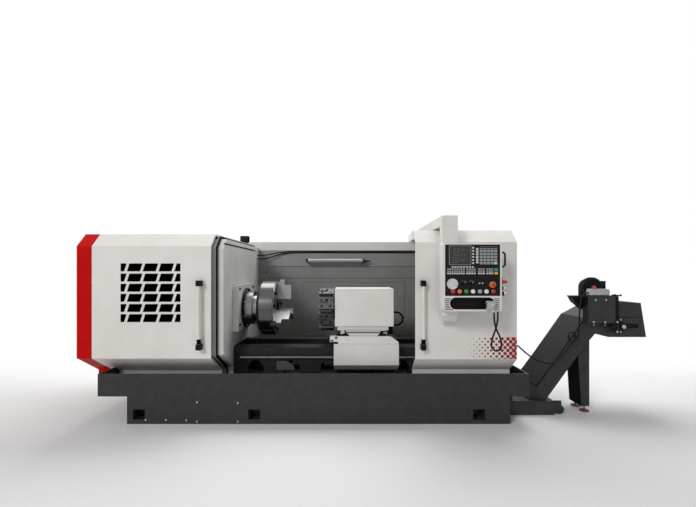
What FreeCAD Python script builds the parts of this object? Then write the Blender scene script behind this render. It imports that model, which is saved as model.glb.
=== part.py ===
import FreeCAD, Part
import math
import os
import Sketcher

# CNC turning lathe: flat bed, sliding-door enclosure, chip conveyor at the right end.
# Frame: millimetres, +X to the conveyor, +Y to the rear, +Z up. The origin is on the floor,
# midway along the pedestal and straight under the spindle axis, which runs along X.

os.makedirs("parts", exist_ok=True)
doc = FreeCAD.newDocument("TurningLathe")

SIZES = {
    # machine layout
    "spindle_height": 1100.0, "front_face": -690.0, "sheet_gauge": 3.0, "slide_gap": 0.3,
    "bearing_gap": 0.05,
    # pedestal
    "pedestal_length": 3832.0, "pedestal_depth": 1440.0, "pedestal_height": 275.0,
    "pocket_width": 120.0, "pocket_height": 105.0, "pocket_sill": 40.0, "pocket_depth": 150.0,
    "pocket_left": -1857.0, "pocket_middle": -703.0, "pocket_right": 1546.0,
    # chip pan
    "pan_left": -2209.0, "pan_right": 2107.0, "pan_rear": 990.0, "pan_height": 225.0,
    "pan_gauge": 6.0, "pan_lip": 18.0, "guide_bar_width": 15.0, "guide_bar_height": 18.0,
    "outlet_left": 1940.0, "outlet_length": 150.0, "outlet_front": -325.0, "outlet_depth": 330.0,
    # bed
    "bed_left": -1950.0, "bed_right": 1750.0, "bed_width": 600.0, "bed_wall": 110.0,
    "bed_top": 697.0, "trough_floor": 330.0, "way_left": -887.0, "way_width": 150.0,
    "way_overhang": 40.0, "way_depth": 134.0, "way_face_depth": 84.0,
    "way_groove": 14.0, "vee_width": 55.0, "vee_height": 23.0,
    "vee_offset": 50.0, "block_end": -980.0, "rib_thickness": 25.0, "rib_top": 620.0,
    "rib_first": -520.0, "rib_pitch": 400.0, "arch_width": 170.0, "arch_sill": 360.0,
    "arch_spring": 463.0, "arch_first": -720.0,
    # headstock and spindle
    "head_half": 331.0, "head_top": 1380.0, "head_nose": -904.0, "nose_low": 866.0, "head_bevel": 18.0,
    "nose_ring_radius": 231.0, "nose_ring_depth": 27.0, "flange_radius": 193.0,
    "flange_back": -884.0, "flange_front": -800.0, "neck_radius": 150.0,
    "front_journal": 110.0, "rear_journal": 75.0, "spindle_bore": 52.0,
    "front_bearing_radius": 180.0, "rear_bearing_radius": 140.0, "front_bearing_width": 130.0,
    "rear_bearing_width": 80.0, "shaft_radius": 85.0, "pulley_radius": 170.0,
    "pulley_left": -2090.0, "pulley_width": 100.0, "pulley_flange": 8.0,
    # chuck
    "chuck_radius": 315.0, "chuck_back": -726.0, "chuck_face": -534.0, "chuck_bore": 75.0,
    "jaw_width": 64.0, "jaw_neck": 44.0, "jaw_foot_depth": 18.0, "jaw_neck_depth": 22.0,
    "jaw_inner": 103.0, "jaw_outer": 300.0, "jaw_seat": -500.0, "jaw_tip": -368.0,
    "jaw_step": -445.0, "jaw_crest": 330.0, "jaw_shoulder": 266.0,
    # main motor and belt
    "motor_y": 600.0, "motor_z": 640.0, "motor_radius": 190.0, "motor_left": -1800.0,
    "motor_length": 560.0, "motor_shaft": 30.0, "motor_pulley_radius": 85.0,
    "belt_thickness": 12.0,
    # doors: the left one
    "left_start": -2268.0, "left_end": -1076.0, "left_sill": 654.0, "left_roof": 1911.0,
    "left_run": 330.0, "left_drop": 199.0, "left_bevel": 132.0, "left_back": 868.0,
    "flange_width": 20.0, "collar_inset": 50.0, "seal_left": -1046.0,
    "seal_width": 22.0,
    "vent_left": -1980.0, "vent_length": 599.0, "vent_low": 1019.0, "vent_row": 101.5,
    "vent_slot": 79.0, "vent_pitch": 158.0, "vent_bar": 27.0, "vent_lean": 25.0,
    "vent_edge": 36.0, "skirt_notch": -2190.0,
    # the right one
    "right_start": 969.0, "right_end": 1983.0, "right_sill": 648.0, "right_roof": 1950.0,
    "right_run": 168.0, "right_drop": 144.0, "right_bevel": 132.0, "right_back": 951.0,
    "roof_notch": 291.0, "roof_notch_front": -450.0, "roof_notch_low": 1830.0,
    # handles and hangers
    "left_handle_x": -1181.0, "right_handle_x": 1040.0, "handle_low": 776.0,
    "handle_length": 632.0, "handle_radius": 17.0, "handle_stand": 45.0,
    "bracket_height": 55.0, "hanger_width": 110.0, "hanger_thickness": 6.0, "hanger_rise": 80.0,
    "roller_radius": 30.0, "roller_width": 26.0, "roller_pin": 8.0,
    # headstock guard and end cap
    "collar_left": -1330.0, "wall_face": -966.0, "wall_gauge": 6.0, "cutout_gap": 5.0,
    "cap_left": -2419.0, "cap_slope_top": 654.0, "cap_slope_low": 546.0,
    # rear guard and rail
    "guard_face": 880.0, "guard_gauge": 10.0, "guard_top": 1826.0, "band_low": 1600.0,
    "band_proud": 18.0, "mid_low": 1435.0, "mid_proud": 8.0, "frame_left": -390.0,
    "frame_length": 1493.0, "frame_low": 609.0, "frame_height": 814.0, "frame_width": 42.0,
    "frame_proud": 12.0, "tail_wall": 1940.0, "rail_height": 118.0, "rail_depth": 55.0,
    "rail_gauge": 6.0,
    # lamp
    "lamp_left": -253.0, "lamp_length": 763.0, "lamp_height": 1675.0, "lamp_y": 770.0,
    "lamp_radius": 27.0,
    # carriage, cross slide, turret
    "carriage_left": 145.0, "carriage_length": 688.0, "saddle_top": 770.0, "apron_front": -455.0,
    "apron_low": 535.0, "keeper_low": 640.0, "keeper_width": 37.0, "cover_front": -480.0,
    "cover_height": 222.0, "cover_run": 80.0, "cover_drop": 65.0,
    "base_left": 189.0, "base_length": 540.0, "base_height": 70.0, "base_inset": 1.0,
    "slide_front": -390.0, "slide_depth": 700.0, "slide_height": 50.0,
    "dovetail_width": 296.0, "dovetail_height": 32.0, "dovetail_lean": 24.0,
    "slide_cover_depth": 15.0, "switch_length": 85.0, "switch_depth": 70.0,
    "switch_height": 60.0, "turret_left": 155.0, "turret_length": 632.0,
    "turret_front": -400.0, "turret_depth": 400.0, "turret_low": 933.0,
    "turret_height": 407.0, "lip_left": 182.0, "lip_length": 551.0, "lip_inset": 15.0,
    "disc_y": -200.0, "disc_flat": 195.0, "disc_left": -5.0,
    "disc_width": 130.0, "block_length": 160.0, "block_width": 130.0, "block_height": 33.0,
    "disc_shaft": 60.0, "disc_recess": 28.0, "hose_radius": 11.0, "hose_bend": 71.0,
    "hose_reach": 57.0, "clamp_length": 47.0, "clamp_depth": 50.0, "clamp_height": 85.0,
    # ball screw and its drive
    "screw_y": -140.0, "screw_z": 665.0, "screw_radius": 20.0, "screw_left": -965.0,
    "servo_radius": 62.0, "servo_length": 165.0,
    # tailstock
    "tail_left": 1320.0, "tail_length": 380.0, "tail_half": 290.0, "tail_waist": 130.0,
    "tail_top": 1245.0, "quill_radius": 60.0, "quill_reach": 50.0, "centre_tip": 1200.0,
    # pendant
    "arm_left": 1194.0, "arm_width": 148.0, "arm_front": -860.0, "arm_low": 1965.0,
    "arm_height": 95.0, "post_depth": 100.0, "column_depth": 100.0, "column_low": 1044.0,
    "column_bevel": 60.0, "pin_radius": 30.0, "pin_length": 65.0,
    "box_left": 1165.0, "box_width": 536.0, "box_low": 1159.0, "box_height": 631.0,
    "box_front": -1010.0, "box_bevel": 14.0, "grip_low": 1562.0, "grip_height": 149.0,
    "grip_reach": 65.0, "grip_bar": 12.0, "grip_y": -941.0, "panel_left": 1181.0, "panel_width": 504.0,
    "panel_low": 1301.0, "panel_height": 470.0, "panel_gauge": 6.0, "panel_seat": 4.0,
    "screen_left": 1224.0, "screen_width": 190.0, "screen_low": 1590.0, "screen_height": 167.0,
    "key_pitch_x": 33.0, "key_pitch_z": 28.0, "key_width": 24.0, "key_height": 20.0,
    "key_travel_gap": 2.0, "keypad_left": 1500.0, "keypad_low": 1592.0,
    "recess_left": 1228.0, "recess_width": 402.0, "recess_low": 1182.0, "recess_height": 101.0,
    "recess_depth": 60.0, "wheel_x": 1246.0, "wheel_z": 1411.0, "wheel_radius": 49.0,
    "selector_radius": 17.0, "selector_z": 1416.0, "selector_1_x": 1356.0,
    "selector_2_x": 1426.0, "estop_x": 1615.0, "estop_z": 1404.0, "estop_radius": 27.0,
    "button_z": 1342.5, "button_first": 1250.0, "button_pitch": 61.4, "button_radius": 13.0,
    "pulse_x": 1593.0, "pulse_z": 1203.0, "pulse_width": 80.0, "pulse_height": 105.0,
    "dial_radius": 37.0,
    # conveyor
    "conveyor_front": -400.0, "conveyor_width": 480.0, "conveyor_gauge": 6.0,
    "tank_left": 1925.0, "tank_length": 565.0, "tank_height": 147.0, "tank_margin": 54.0,
    "wheel_size": 50.0, "lid_thickness": 12.0, "leg_left": 2807.0, "leg_width": 126.0,
    "leg_front": -342.0, "leg_depth": 222.0, "leg_foot": 55.0, "leg_taper": 38.0, "foot_radius": 46.0,
    "chain_left": 2823.0, "chain_length": 322.0, "chain_low": 981.0, "chain_height": 287.0,
    "chain_depth": 90.0, "guard_strip": 28.0, "guard_strip_low": 878.0,
    "slot_left": 3321.0, "slot_length": 99.0, "slot_low": 917.0, "slot_height": 43.0,
    "drive_x": 3232.0, "drive_z": 936.0, "drive_radius": 17.5, "sprocket_gap": 0.3,
    "band_half": 40.0, "band_thickness": 8.0, "drum_x": 2938.0, "drum_z": 1353.0,
    "drum_radius": 102.0, "drum_front": -395.0, "drum_depth": 60.0, "cowl_radius": 92.0,
    "cowl_depth": 50.0, "stand_top": 1262.0, "stand_left": 2719.0, "stand_length": 381.0,
    "stand_gauge": 12.0, "stand_plate": 3063.0, "stand_plate_height": 161.0,
    "terminal_left": 2852.0, "terminal_length": 197.0, "terminal_height": 61.0,
    # cables
    "cable_radius": 7.0, "pulse_cable_radius": 8.0, "conduit_radius": 8.0,
}

TAN_22_5 = math.tan(math.radians(22.5))
ROUND = 360.0
JAW_ANGLES = (0.0, 120.0, 240.0)
TURRET_STATIONS = 8

sheet = doc.addObject("Spreadsheet::Sheet", "Sizes")
for row, (alias, value) in enumerate(SIZES.items(), 1):
    sheet.set("A%d" % row, alias)
    sheet.set("B%d" % row, str(value))
    sheet.setAlias("B%d" % row, alias)
doc.recompute()


class Size:
    """A length from the sheet, kept with the expression that makes it."""

    def __init__(self, text, value):
        self.text = text
        self.value = value

    def __add__(self, other):
        other = as_size(other)
        return Size("(%s + %s)" % (self.text, other.text), self.value + other.value)

    def __sub__(self, other):
        other = as_size(other)
        return Size("(%s - %s)" % (self.text, other.text), self.value - other.value)

    def __mul__(self, other):
        other = as_size(other)
        return Size("(%s * %s)" % (self.text, other.text), self.value * other.value)

    def __truediv__(self, other):
        other = as_size(other)
        return Size("(%s / %s)" % (self.text, other.text), self.value / other.value)

    def __neg__(self):
        return Size("(0 - %s)" % self.text, -self.value)

    def __radd__(self, other):
        return as_size(other) + self

    def __rsub__(self, other):
        return as_size(other) - self

    def __rmul__(self, other):
        return as_size(other) * self

    def root(self):
        return Size("sqrt(%s)" % self.text, math.sqrt(self.value))


def as_size(number):
    return number if isinstance(number, Size) else Size("%.9f" % number, float(number))


class Sheet:
    """The sheet's sizes by name."""

    def __getattr__(self, alias):
        return Size("Sizes." + alias, float(sheet.get(alias)))


S = Sheet()
ZERO = as_size(0.0)
NODES = {}


# ---------------------------------------------------------------- building helpers

def bind(thing, path, size):
    thing.setExpression(path, as_size(size).text)


def rect(low_a, high_a, low_b, high_b):
    return [(low_a, low_b), (high_a, low_b), (high_a, high_b), (low_a, high_b)]


class Circle:
    def __init__(self, across, up, radius):
        self.across = as_size(across)
        self.up = as_size(up)
        self.radius = as_size(radius)


PLANES = {"x": "YZ_Plane", "y": "XZ_Plane", "z": "XY_Plane"}


def fix(sketch, kind, values, size, label):
    index = sketch.addConstraint(Sketcher.Constraint(kind, *values, size.value))
    sketch.renameConstraint(index, label)
    sketch.setExpression("Constraints." + label, size.text)


def draw_polygon(sketch, points):
    first = sketch.GeometryCount
    corners = [(as_size(a), as_size(b)) for a, b in points]
    count = len(corners)
    for index, (a, b) in enumerate(corners):
        c, d = corners[(index + 1) % count]
        start = FreeCAD.Vector(a.value, b.value, 0)
        end = FreeCAD.Vector(c.value, d.value, 0)
        sketch.addGeometry(Part.LineSegment(start, end), False)
    for index in range(count):
        following = first + (index + 1) % count
        sketch.addConstraint(Sketcher.Constraint("Coincident", first + index, 2, following, 1))
    for index, (a, b) in enumerate(corners):
        edge = first + index
        fix(sketch, "DistanceX", (-1, 1, edge, 1), a, "across_%d" % edge)
        fix(sketch, "DistanceY", (-1, 1, edge, 1), b, "up_%d" % edge)


def draw_circle(sketch, circle):
    edge = sketch.GeometryCount
    centre = FreeCAD.Vector(circle.across.value, circle.up.value, 0)
    sketch.addGeometry(Part.Circle(centre, FreeCAD.Vector(0, 0, 1), circle.radius.value), False)
    fix(sketch, "DistanceX", (-1, 1, edge, 3), circle.across, "across_%d" % edge)
    fix(sketch, "DistanceY", (-1, 1, edge, 3), circle.up, "up_%d" % edge)
    fix(sketch, "Radius", (edge,), circle.radius, "radius_%d" % edge)


def draw(body, axis, loops, start):
    """A sketch of closed loops on the body's plane square to the axis, at the start."""
    sketch = body.newObject("Sketcher::SketchObject", body.Name + "_sketch")
    plane = [p for p in body.Origin.OriginFeatures if p.Role == PLANES[axis]][0]
    sketch.AttachmentSupport = [(plane, "")]
    sketch.MapMode = "FlatFace"
    for loop in loops:
        if isinstance(loop, Circle):
            draw_circle(sketch, loop)
        else:
            draw_polygon(sketch, loop)
    start = as_size(start)
    bind(sketch, "AttachmentOffset.Base.z", -start if axis == "y" else start)
    return sketch


def add(body, axis, loops, start, length):
    """Pad the loops from the start, towards the axis's positive end."""
    pad = body.newObject("PartDesign::Pad", body.Name + "_pad")
    pad.Profile = draw(body, axis, loops, start)
    pad.Reversed = axis == "y"
    bind(pad, "Length", length)
    return pad


def remove(body, axis, loops, start, length):
    """Pocket the loops from the start, towards the axis's positive end."""
    pocket = body.newObject("PartDesign::Pocket", body.Name + "_pocket")
    pocket.Profile = draw(body, axis, loops, start)
    pocket.Reversed = axis != "y"
    bind(pocket, "Length", length)
    return pocket


def new_body(name):
    return doc.addObject("PartDesign::Body", name)


def extrusion(name, axis, loops, start, length):
    body = new_body(name)
    add(body, axis, loops, start, length)
    return body


def repeat(body, feature, axis_name, pitch, count):
    """Copies of a feature along its own sketch's H_Axis or V_Axis."""
    pattern = body.newObject("PartDesign::LinearPattern", body.Name + "_pattern")
    pattern.Originals = [feature]
    pattern.Direction = (feature.Profile[0], [axis_name])
    bind(pattern, "Length", as_size(pitch) * (count - 1))
    pattern.Occurrences = count
    body.Tip = pattern
    return pattern


def place(thing, across, depth, height):
    bind(thing, "Placement.Base.x", across)
    bind(thing, "Placement.Base.y", depth)
    bind(thing, "Placement.Base.z", height)
    return thing


def turned(name, axis, loop, across=ZERO, depth=ZERO, height=ZERO):
    """Turn a loop of (distance along the axis, radius) points about the axis."""
    body = new_body(name)
    if axis == "x":
        sketch = draw(body, "z", [loop], ZERO)
        line = "H_Axis"
    else:
        flipped = [(radius, along) for along, radius in loop]
        sketch = draw(body, "z" if axis == "y" else "y", [flipped], ZERO)
        line = "V_Axis"
    turn = body.newObject("PartDesign::Revolution", name + "_turn")
    turn.Profile = sketch
    turn.ReferenceAxis = (sketch, [line])
    turn.Angle = ROUND
    return place(body, across, depth, height)


def ring_loop(low, high, inner, outer):
    return rect(low, high, inner, outer)


def block(name, across, depth, height, length, width, tall):
    box = doc.addObject("Part::Box", name)
    bind(box, "Length", length)
    bind(box, "Width", width)
    bind(box, "Height", tall)
    return place(box, across, depth, height)


TURNS = {
    "x": FreeCAD.Rotation(FreeCAD.Vector(0, 1, 0), 90),
    "y": FreeCAD.Rotation(FreeCAD.Vector(1, 0, 0), -90),
    "z": FreeCAD.Rotation(),
}


def rod(name, axis, across, depth, height, radius, length):
    cylinder = doc.addObject("Part::Cylinder", name)
    cylinder.Placement = FreeCAD.Placement(FreeCAD.Vector(), TURNS[axis])
    bind(cylinder, "Radius", radius)
    bind(cylinder, "Height", length)
    return place(cylinder, across, depth, height)


def joined(name, pieces):
    fuse = doc.addObject("Part::MultiFuse", name)
    fuse.Shapes = pieces
    return fuse


def less(name, base, tool):
    cut = doc.addObject("Part::Cut", name)
    cut.Base = base
    cut.Tool = tool
    return cut


def group(name, pieces):
    compound = doc.addObject("Part::Compound", name)
    compound.Links = pieces
    return compound


def made(name, shape):
    """A piece whose shape is worked out from the sheet's values."""
    feature = doc.addObject("Part::Feature", name)
    feature.Shape = shape
    return feature


def round_edges(body, direction, radius, keep=lambda edge: True):
    """Fillet the body's straight edges that run along a direction."""
    doc.recompute()
    tip = body.Tip
    names = []
    for index, edge in enumerate(tip.Shape.Edges, 1):
        straight = edge.Curve.TypeId == "Part::GeomLine"
        if straight and abs(edge.Curve.Direction.dot(direction)) > 0.999 and keep(edge):
            names.append("Edge%d" % index)
    fillet = body.newObject("PartDesign::Fillet", body.Name + "_fillet")
    fillet.Base = (tip, names)
    bind(fillet, "Radius", radius)
    return fillet


def node(name, thing):
    thing.Label = name
    NODES[name] = thing
    return thing


ALONG_X = FreeCAD.Vector(1, 0, 0)
ALONG_Y = FreeCAD.Vector(0, 1, 0)
ALONG_Z = FreeCAD.Vector(0, 0, 1)


# ---------------------------------------------------------------- cables

def cable_path(points):
    """Straight runs joined by tangent arcs, each as large as its two runs allow."""
    corners = [FreeCAD.Vector(*point) for point in points]
    edges = []
    radii = []
    last = corners[0]
    for before, corner, after in zip(corners, corners[1:], corners[2:]):
        back = (before - corner).normalize()
        ahead = (after - corner).normalize()
        half_turn = (math.pi - back.getAngle(ahead)) / 2
        reach = 0.45 * min((before - corner).Length, (after - corner).Length)
        radius = reach / math.tan(half_turn)
        radii.append(radius)
        start = corner + back * reach
        end = corner + ahead * reach
        bisector = (back + ahead).normalize()
        middle = corner + bisector * (radius / math.cos(half_turn) - radius)
        edges.append(Part.LineSegment(last, start).toShape())
        edges.append(Part.Arc(start, middle, end).toShape())
        last = end
    edges.append(Part.LineSegment(last, corners[-1]).toShape())
    return Part.Wire(edges), radii


def cable(name, points, radius):
    path, radii = cable_path(points)
    pieces = []
    for edge in path.Edges:
        start = edge.valueAt(edge.FirstParameter)
        heading = edge.tangentAt(edge.FirstParameter)
        section = Part.Wire(Part.makeCircle(radius.value, start, heading))
        pieces.append(Part.Wire(edge).makePipeShell([section], True, False))
    solid = pieces[0].multiFuse(pieces[1:])
    if solid.ShapeType == "Compound":
        solid = solid.Solids[0]
    expected = math.pi * radius.value ** 2 * path.Length
    print("%s: least radius %.1f mm in %.1f mm cable, volume ratio %.4f"
          % (name, min(radii), radius.value * 2, solid.Volume / expected))
    return made(name, solid)


# ---------------------------------------------------------------- pedestal, pan and bed

PAN_FLOOR = S.pedestal_height + S.pan_gauge
PAN_TOP = S.pedestal_height + S.pan_height
LEFT_SKIRT = S.front_face + S.left_run
RIGHT_SKIRT = S.front_face + S.right_run
SKIRT_FOOT = PAN_FLOOR + S.guide_bar_height + S.slide_gap
HALF_BED = S.bed_width / 2
WAY_FACE = HALF_BED + S.way_overhang


def make_pedestal():
    left = -S.pedestal_length / 2
    outline = rect(left, -left, S.front_face, S.front_face + S.pedestal_depth)
    body = extrusion("pedestal", "z", [outline], ZERO, S.pedestal_height)
    pockets = []
    for start in (S.pocket_left, S.pocket_middle, S.pocket_right):
        pockets.append(rect(start, start + S.pocket_width, S.pocket_sill,
                            S.pocket_sill + S.pocket_height))
    remove(body, "y", pockets, S.front_face, S.pocket_depth)
    node("pedestal", body)


def outlet_outline(margin):
    return rect(S.outlet_left - margin, S.outlet_left + S.outlet_length + margin,
                S.outlet_front - margin, S.outlet_front + S.outlet_depth + margin)


def make_chip_pan():
    outline = rect(S.pan_left, S.pan_right, S.front_face, S.pan_rear)
    body = extrusion("chip_pan", "z", [outline], S.pedestal_height, S.pan_height)
    inside = rect(S.pan_left + S.pan_gauge, S.pan_right - S.pan_gauge,
                  S.front_face + S.pan_gauge, S.pan_rear - S.pan_gauge)
    remove(body, "z", [inside], PAN_FLOOR, S.pan_height - 2 * S.pan_gauge)
    mouth = rect(S.pan_left + S.pan_lip, S.pan_right - S.pan_lip,
                 S.front_face + S.pan_lip, S.pan_rear - S.pan_lip)
    remove(body, "z", [mouth], PAN_FLOOR, S.pan_height)
    half_bar = S.guide_bar_width / 2
    left_bar = LEFT_SKIRT + S.sheet_gauge / 2
    right_bar = RIGHT_SKIRT + S.sheet_gauge / 2
    bars = [rect(S.skirt_notch, ZERO, left_bar - half_bar,
                 left_bar + half_bar),
            rect(-S.pan_gauge * 10, S.right_end, right_bar - half_bar, right_bar + half_bar)]
    add(body, "z", bars, PAN_FLOOR, S.guide_bar_height)
    add(body, "z", [outlet_outline(S.pan_gauge)], S.tank_height,
        S.pedestal_height - S.tank_height)
    remove(body, "z", [outlet_outline(ZERO)], S.tank_height, S.pan_height)
    node("chip_pan", body)


def vee_points(lift):
    """The V way's ridge, from its front foot to its rear foot."""
    foot = -WAY_FACE + S.vee_offset
    ridge = foot + S.vee_width / 2
    return [(foot, S.bed_top + lift), (ridge, S.bed_top + S.vee_height + lift),
            (foot + S.vee_width, S.bed_top + lift)]


def make_bed():
    inner = HALF_BED - S.bed_wall
    section = [(-HALF_BED, PAN_FLOOR), (HALF_BED, PAN_FLOOR), (HALF_BED, S.bed_top - S.way_depth),
               (HALF_BED, S.bed_top), (inner, S.bed_top), (inner, S.trough_floor),
               (-inner, S.trough_floor), (-inner, S.bed_top), (-HALF_BED, S.bed_top)]
    body = extrusion("bed", "x", [section], S.bed_left, S.bed_right - S.bed_left)
    seat = rect(-HALF_BED, HALF_BED, PAN_FLOOR, S.bed_top)
    add(body, "x", [seat], S.bed_left, S.block_end - S.bed_left)
    ridge = vee_points(ZERO)
    low = S.bed_top - S.way_depth
    face_low = S.bed_top - S.way_face_depth
    groove = S.way_groove
    front_way = [(-HALF_BED, low), (-WAY_FACE + S.way_width, low),
                 (-WAY_FACE + S.way_width, S.bed_top)]
    front_way += list(reversed(ridge))
    front_way += [(-WAY_FACE, S.bed_top), (-WAY_FACE, face_low), (-WAY_FACE + groove, face_low),
                  (-WAY_FACE + groove, face_low - groove), (-WAY_FACE, face_low - groove),
                  (-WAY_FACE, low + groove), (-HALF_BED, low + groove)]
    rear_way = rect(WAY_FACE - S.way_width, WAY_FACE, low, S.bed_top)
    way_length = S.bed_right - S.way_left
    add(body, "x", [front_way], S.way_left, way_length)
    add(body, "x", [rear_way], S.way_left, way_length)
    rib = rect(S.rib_first, S.rib_first + S.rib_thickness, PAN_FLOOR, S.rib_top)
    ribs = add(body, "y", [rib], -HALF_BED + S.bed_wall / 2, S.bed_width - S.bed_wall)
    repeat(body, ribs, "H_Axis", S.rib_pitch, 6)
    half_arch = S.arch_width / 2
    arch_low = rect(S.arch_first - half_arch, S.arch_first + half_arch, S.arch_sill,
                    S.arch_spring)
    arch = remove(body, "y", [arch_low], -HALF_BED, S.bed_width)
    repeat(body, arch, "H_Axis", S.rib_pitch, 6)
    crown = remove(body, "y", [Circle(S.arch_first, S.arch_spring, half_arch)], -HALF_BED,
                   S.bed_width)
    repeat(body, crown, "H_Axis", S.rib_pitch, 6)
    node("bed", body)


# ---------------------------------------------------------------- headstock and spindle

SPINDLE_BORE_GAP = as_size(20.0)
SPINDLE_TAIL = S.pulley_left - 20


def make_headstock():
    half = S.head_half
    bevel = S.head_bevel
    section = [(-half, S.bed_top), (half, S.bed_top), (half, S.head_top - bevel),
               (half - bevel, S.head_top), (bevel - half, S.head_top),
               (-half, S.head_top - bevel)]
    casting = extrusion("headstock_casting", "x", [section], S.bed_left,
                        S.head_nose - S.bed_left)
    wall_back = S.wall_face - S.wall_gauge - S.slide_gap
    remove(casting, "y", [rect(wall_back, S.head_nose + 10, S.bed_top - 10, S.nose_low)],
           -half, half * 2)
    front_seat = S.head_nose - S.front_bearing_width
    rear_seat = S.bed_left + S.rear_bearing_width
    hollow = [(S.bed_left, ZERO), (S.head_nose, ZERO), (S.head_nose, S.front_bearing_radius),
              (front_seat, S.front_bearing_radius),
              (front_seat, S.shaft_radius + SPINDLE_BORE_GAP),
              (rear_seat, S.shaft_radius + SPINDLE_BORE_GAP),
              (rear_seat, S.rear_bearing_radius), (S.bed_left, S.rear_bearing_radius)]
    bore = turned("headstock_bore", "x", hollow, height=S.spindle_height)
    node("headstock", less("headstock", casting, bore))


def make_spindle_bearings():
    front_seat = S.head_nose - S.front_bearing_width
    front = turned("front_bearing", "x",
                   ring_loop(front_seat, S.head_nose, S.front_journal + S.bearing_gap,
                             S.front_bearing_radius - S.slide_gap), height=S.spindle_height)
    rear = turned("rear_bearing", "x",
                  ring_loop(S.bed_left, S.bed_left + S.rear_bearing_width,
                            S.rear_journal + S.bearing_gap,
                            S.rear_bearing_radius - S.slide_gap), height=S.spindle_height)
    node("spindle_bearings", group("spindle_bearings", [front, rear]))


def make_nose_cover():
    inner = S.flange_radius + S.slide_gap * 5
    front = S.head_nose + S.nose_ring_depth
    loop = [(S.head_nose, inner), (front, inner), (front, S.nose_ring_radius - S.head_bevel / 2),
            (front - S.head_bevel / 2, S.nose_ring_radius), (S.head_nose, S.nose_ring_radius)]
    node("spindle_nose_cover", turned("spindle_nose_cover", "x", loop,
                                      height=S.spindle_height))


def pulley_loop(hub, rim, left, width, lip):
    """A flanged belt pulley's section, from the hub out."""
    return [(left, hub), (left + width, hub), (left + width, rim + lip),
            (left + width - lip, rim + lip), (left + width - lip, rim), (left + lip, rim),
            (left + lip, rim + lip), (left, rim + lip)]


def make_spindle():
    front_seat = S.head_nose - S.front_bearing_width
    rear_seat = S.bed_left + S.rear_bearing_width
    loop = [(SPINDLE_TAIL, S.spindle_bore), (S.chuck_back, S.spindle_bore),
            (S.chuck_back, S.neck_radius), (S.flange_front, S.neck_radius),
            (S.flange_front, S.flange_radius), (S.flange_back, S.flange_radius),
            (S.flange_back, S.front_journal), (front_seat, S.front_journal),
            (front_seat, S.shaft_radius), (rear_seat, S.shaft_radius),
            (rear_seat, S.rear_journal), (SPINDLE_TAIL, S.rear_journal)]
    shaft = turned("spindle_shaft", "x", loop, height=S.spindle_height)
    pulley = turned("spindle_pulley", "x",
                    pulley_loop(S.rear_journal, S.pulley_radius, S.pulley_left,
                                S.pulley_width, S.pulley_flange), height=S.spindle_height)
    node("spindle", joined("spindle", [shaft, pulley]))


FOOT_BACK = S.chuck_face - S.jaw_neck_depth - S.jaw_foot_depth
NECK_BACK = S.chuck_face - S.jaw_neck_depth


def jaw_section(gap, front):
    """The T section of a master jaw's foot and neck, or of its slot with a gap."""
    foot = S.jaw_width / 2 + gap
    neck = S.jaw_neck / 2 + gap
    return [(FOOT_BACK - gap, -foot), (NECK_BACK + gap, -foot), (NECK_BACK + gap, -neck),
            (front, -neck), (front, neck), (NECK_BACK + gap, neck), (NECK_BACK + gap, foot),
            (FOOT_BACK - gap, foot)]


def at_jaw(thing, angle):
    """Turn a piece that is built round the axis to its place on the chuck."""
    turn = FreeCAD.Rotation(FreeCAD.Vector(1, 0, 0), angle)
    thing.Placement = FreeCAD.Placement(FreeCAD.Vector(), turn)
    return place(thing, ZERO, ZERO, S.spindle_height)


def make_chuck():
    bevel = S.head_bevel
    loop = [(S.chuck_back, S.chuck_bore), (S.chuck_face, S.chuck_bore),
            (S.chuck_face, S.chuck_radius - bevel / 2),
            (S.chuck_face - bevel / 2, S.chuck_radius),
            (S.chuck_back + bevel * 2, S.chuck_radius),
            (S.chuck_back, S.chuck_radius - bevel * 2)]
    blank = turned("chuck_blank", "x", loop, height=S.spindle_height)
    slots = []
    for number, angle in enumerate(JAW_ANGLES, 1):
        section = jaw_section(S.slide_gap, S.chuck_face + S.slide_gap)
        slot = extrusion("jaw_slot_%d" % number, "z", [section], S.chuck_bore / 2,
                         S.chuck_radius)
        slots.append(at_jaw(slot, angle))
    node("chuck_body", less("chuck_body", blank, group("jaw_slots", slots)))


def make_jaw(number, angle):
    master = extrusion("master_jaw_%d" % number, "z", [jaw_section(ZERO, S.jaw_seat)],
                       S.jaw_inner, S.jaw_outer - S.jaw_inner)
    face = S.chuck_face + S.slide_gap
    half = S.jaw_width / 2
    shoulder = rect(face, S.jaw_seat, -half, half)
    add(master, "z", [shoulder], S.jaw_inner, S.jaw_outer - S.jaw_inner)
    outline = [(S.jaw_seat, S.jaw_inner), (S.jaw_tip, S.jaw_inner), (S.jaw_tip, S.jaw_shoulder),
               (S.jaw_step, S.jaw_shoulder), (S.jaw_step, S.jaw_crest),
               (S.jaw_seat, S.jaw_crest)]
    top = extrusion("top_jaw_%d" % number, "y", [outline], -half, S.jaw_width)
    jaw = group("jaw_%d" % number, [master, top])
    node("jaw_%d" % number, at_jaw(jaw, angle))


def make_main_motor():
    loop = [(S.motor_left, ZERO), (S.motor_left + S.motor_length, ZERO),
            (S.motor_left + S.motor_length, S.motor_radius - S.head_bevel),
            (S.motor_left + S.motor_length - S.head_bevel, S.motor_radius),
            (S.motor_left, S.motor_radius)]
    frame = turned("motor_frame", "x", loop, depth=S.motor_y, height=S.motor_z)
    base_half = S.motor_radius * 0.8
    foot = block("motor_foot", S.motor_left, S.motor_y - base_half, PAN_FLOOR, S.motor_length,
                 base_half * 2, S.motor_z - PAN_FLOOR)
    bush = turned("motor_bush", "x",
                  ring_loop(S.motor_left - S.motor_shaft, S.motor_left,
                            S.motor_shaft + S.bearing_gap, S.motor_shaft * 2),
                  depth=S.motor_y, height=S.motor_z)
    node("main_motor", joined("main_motor", [frame, foot, bush]))


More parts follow.
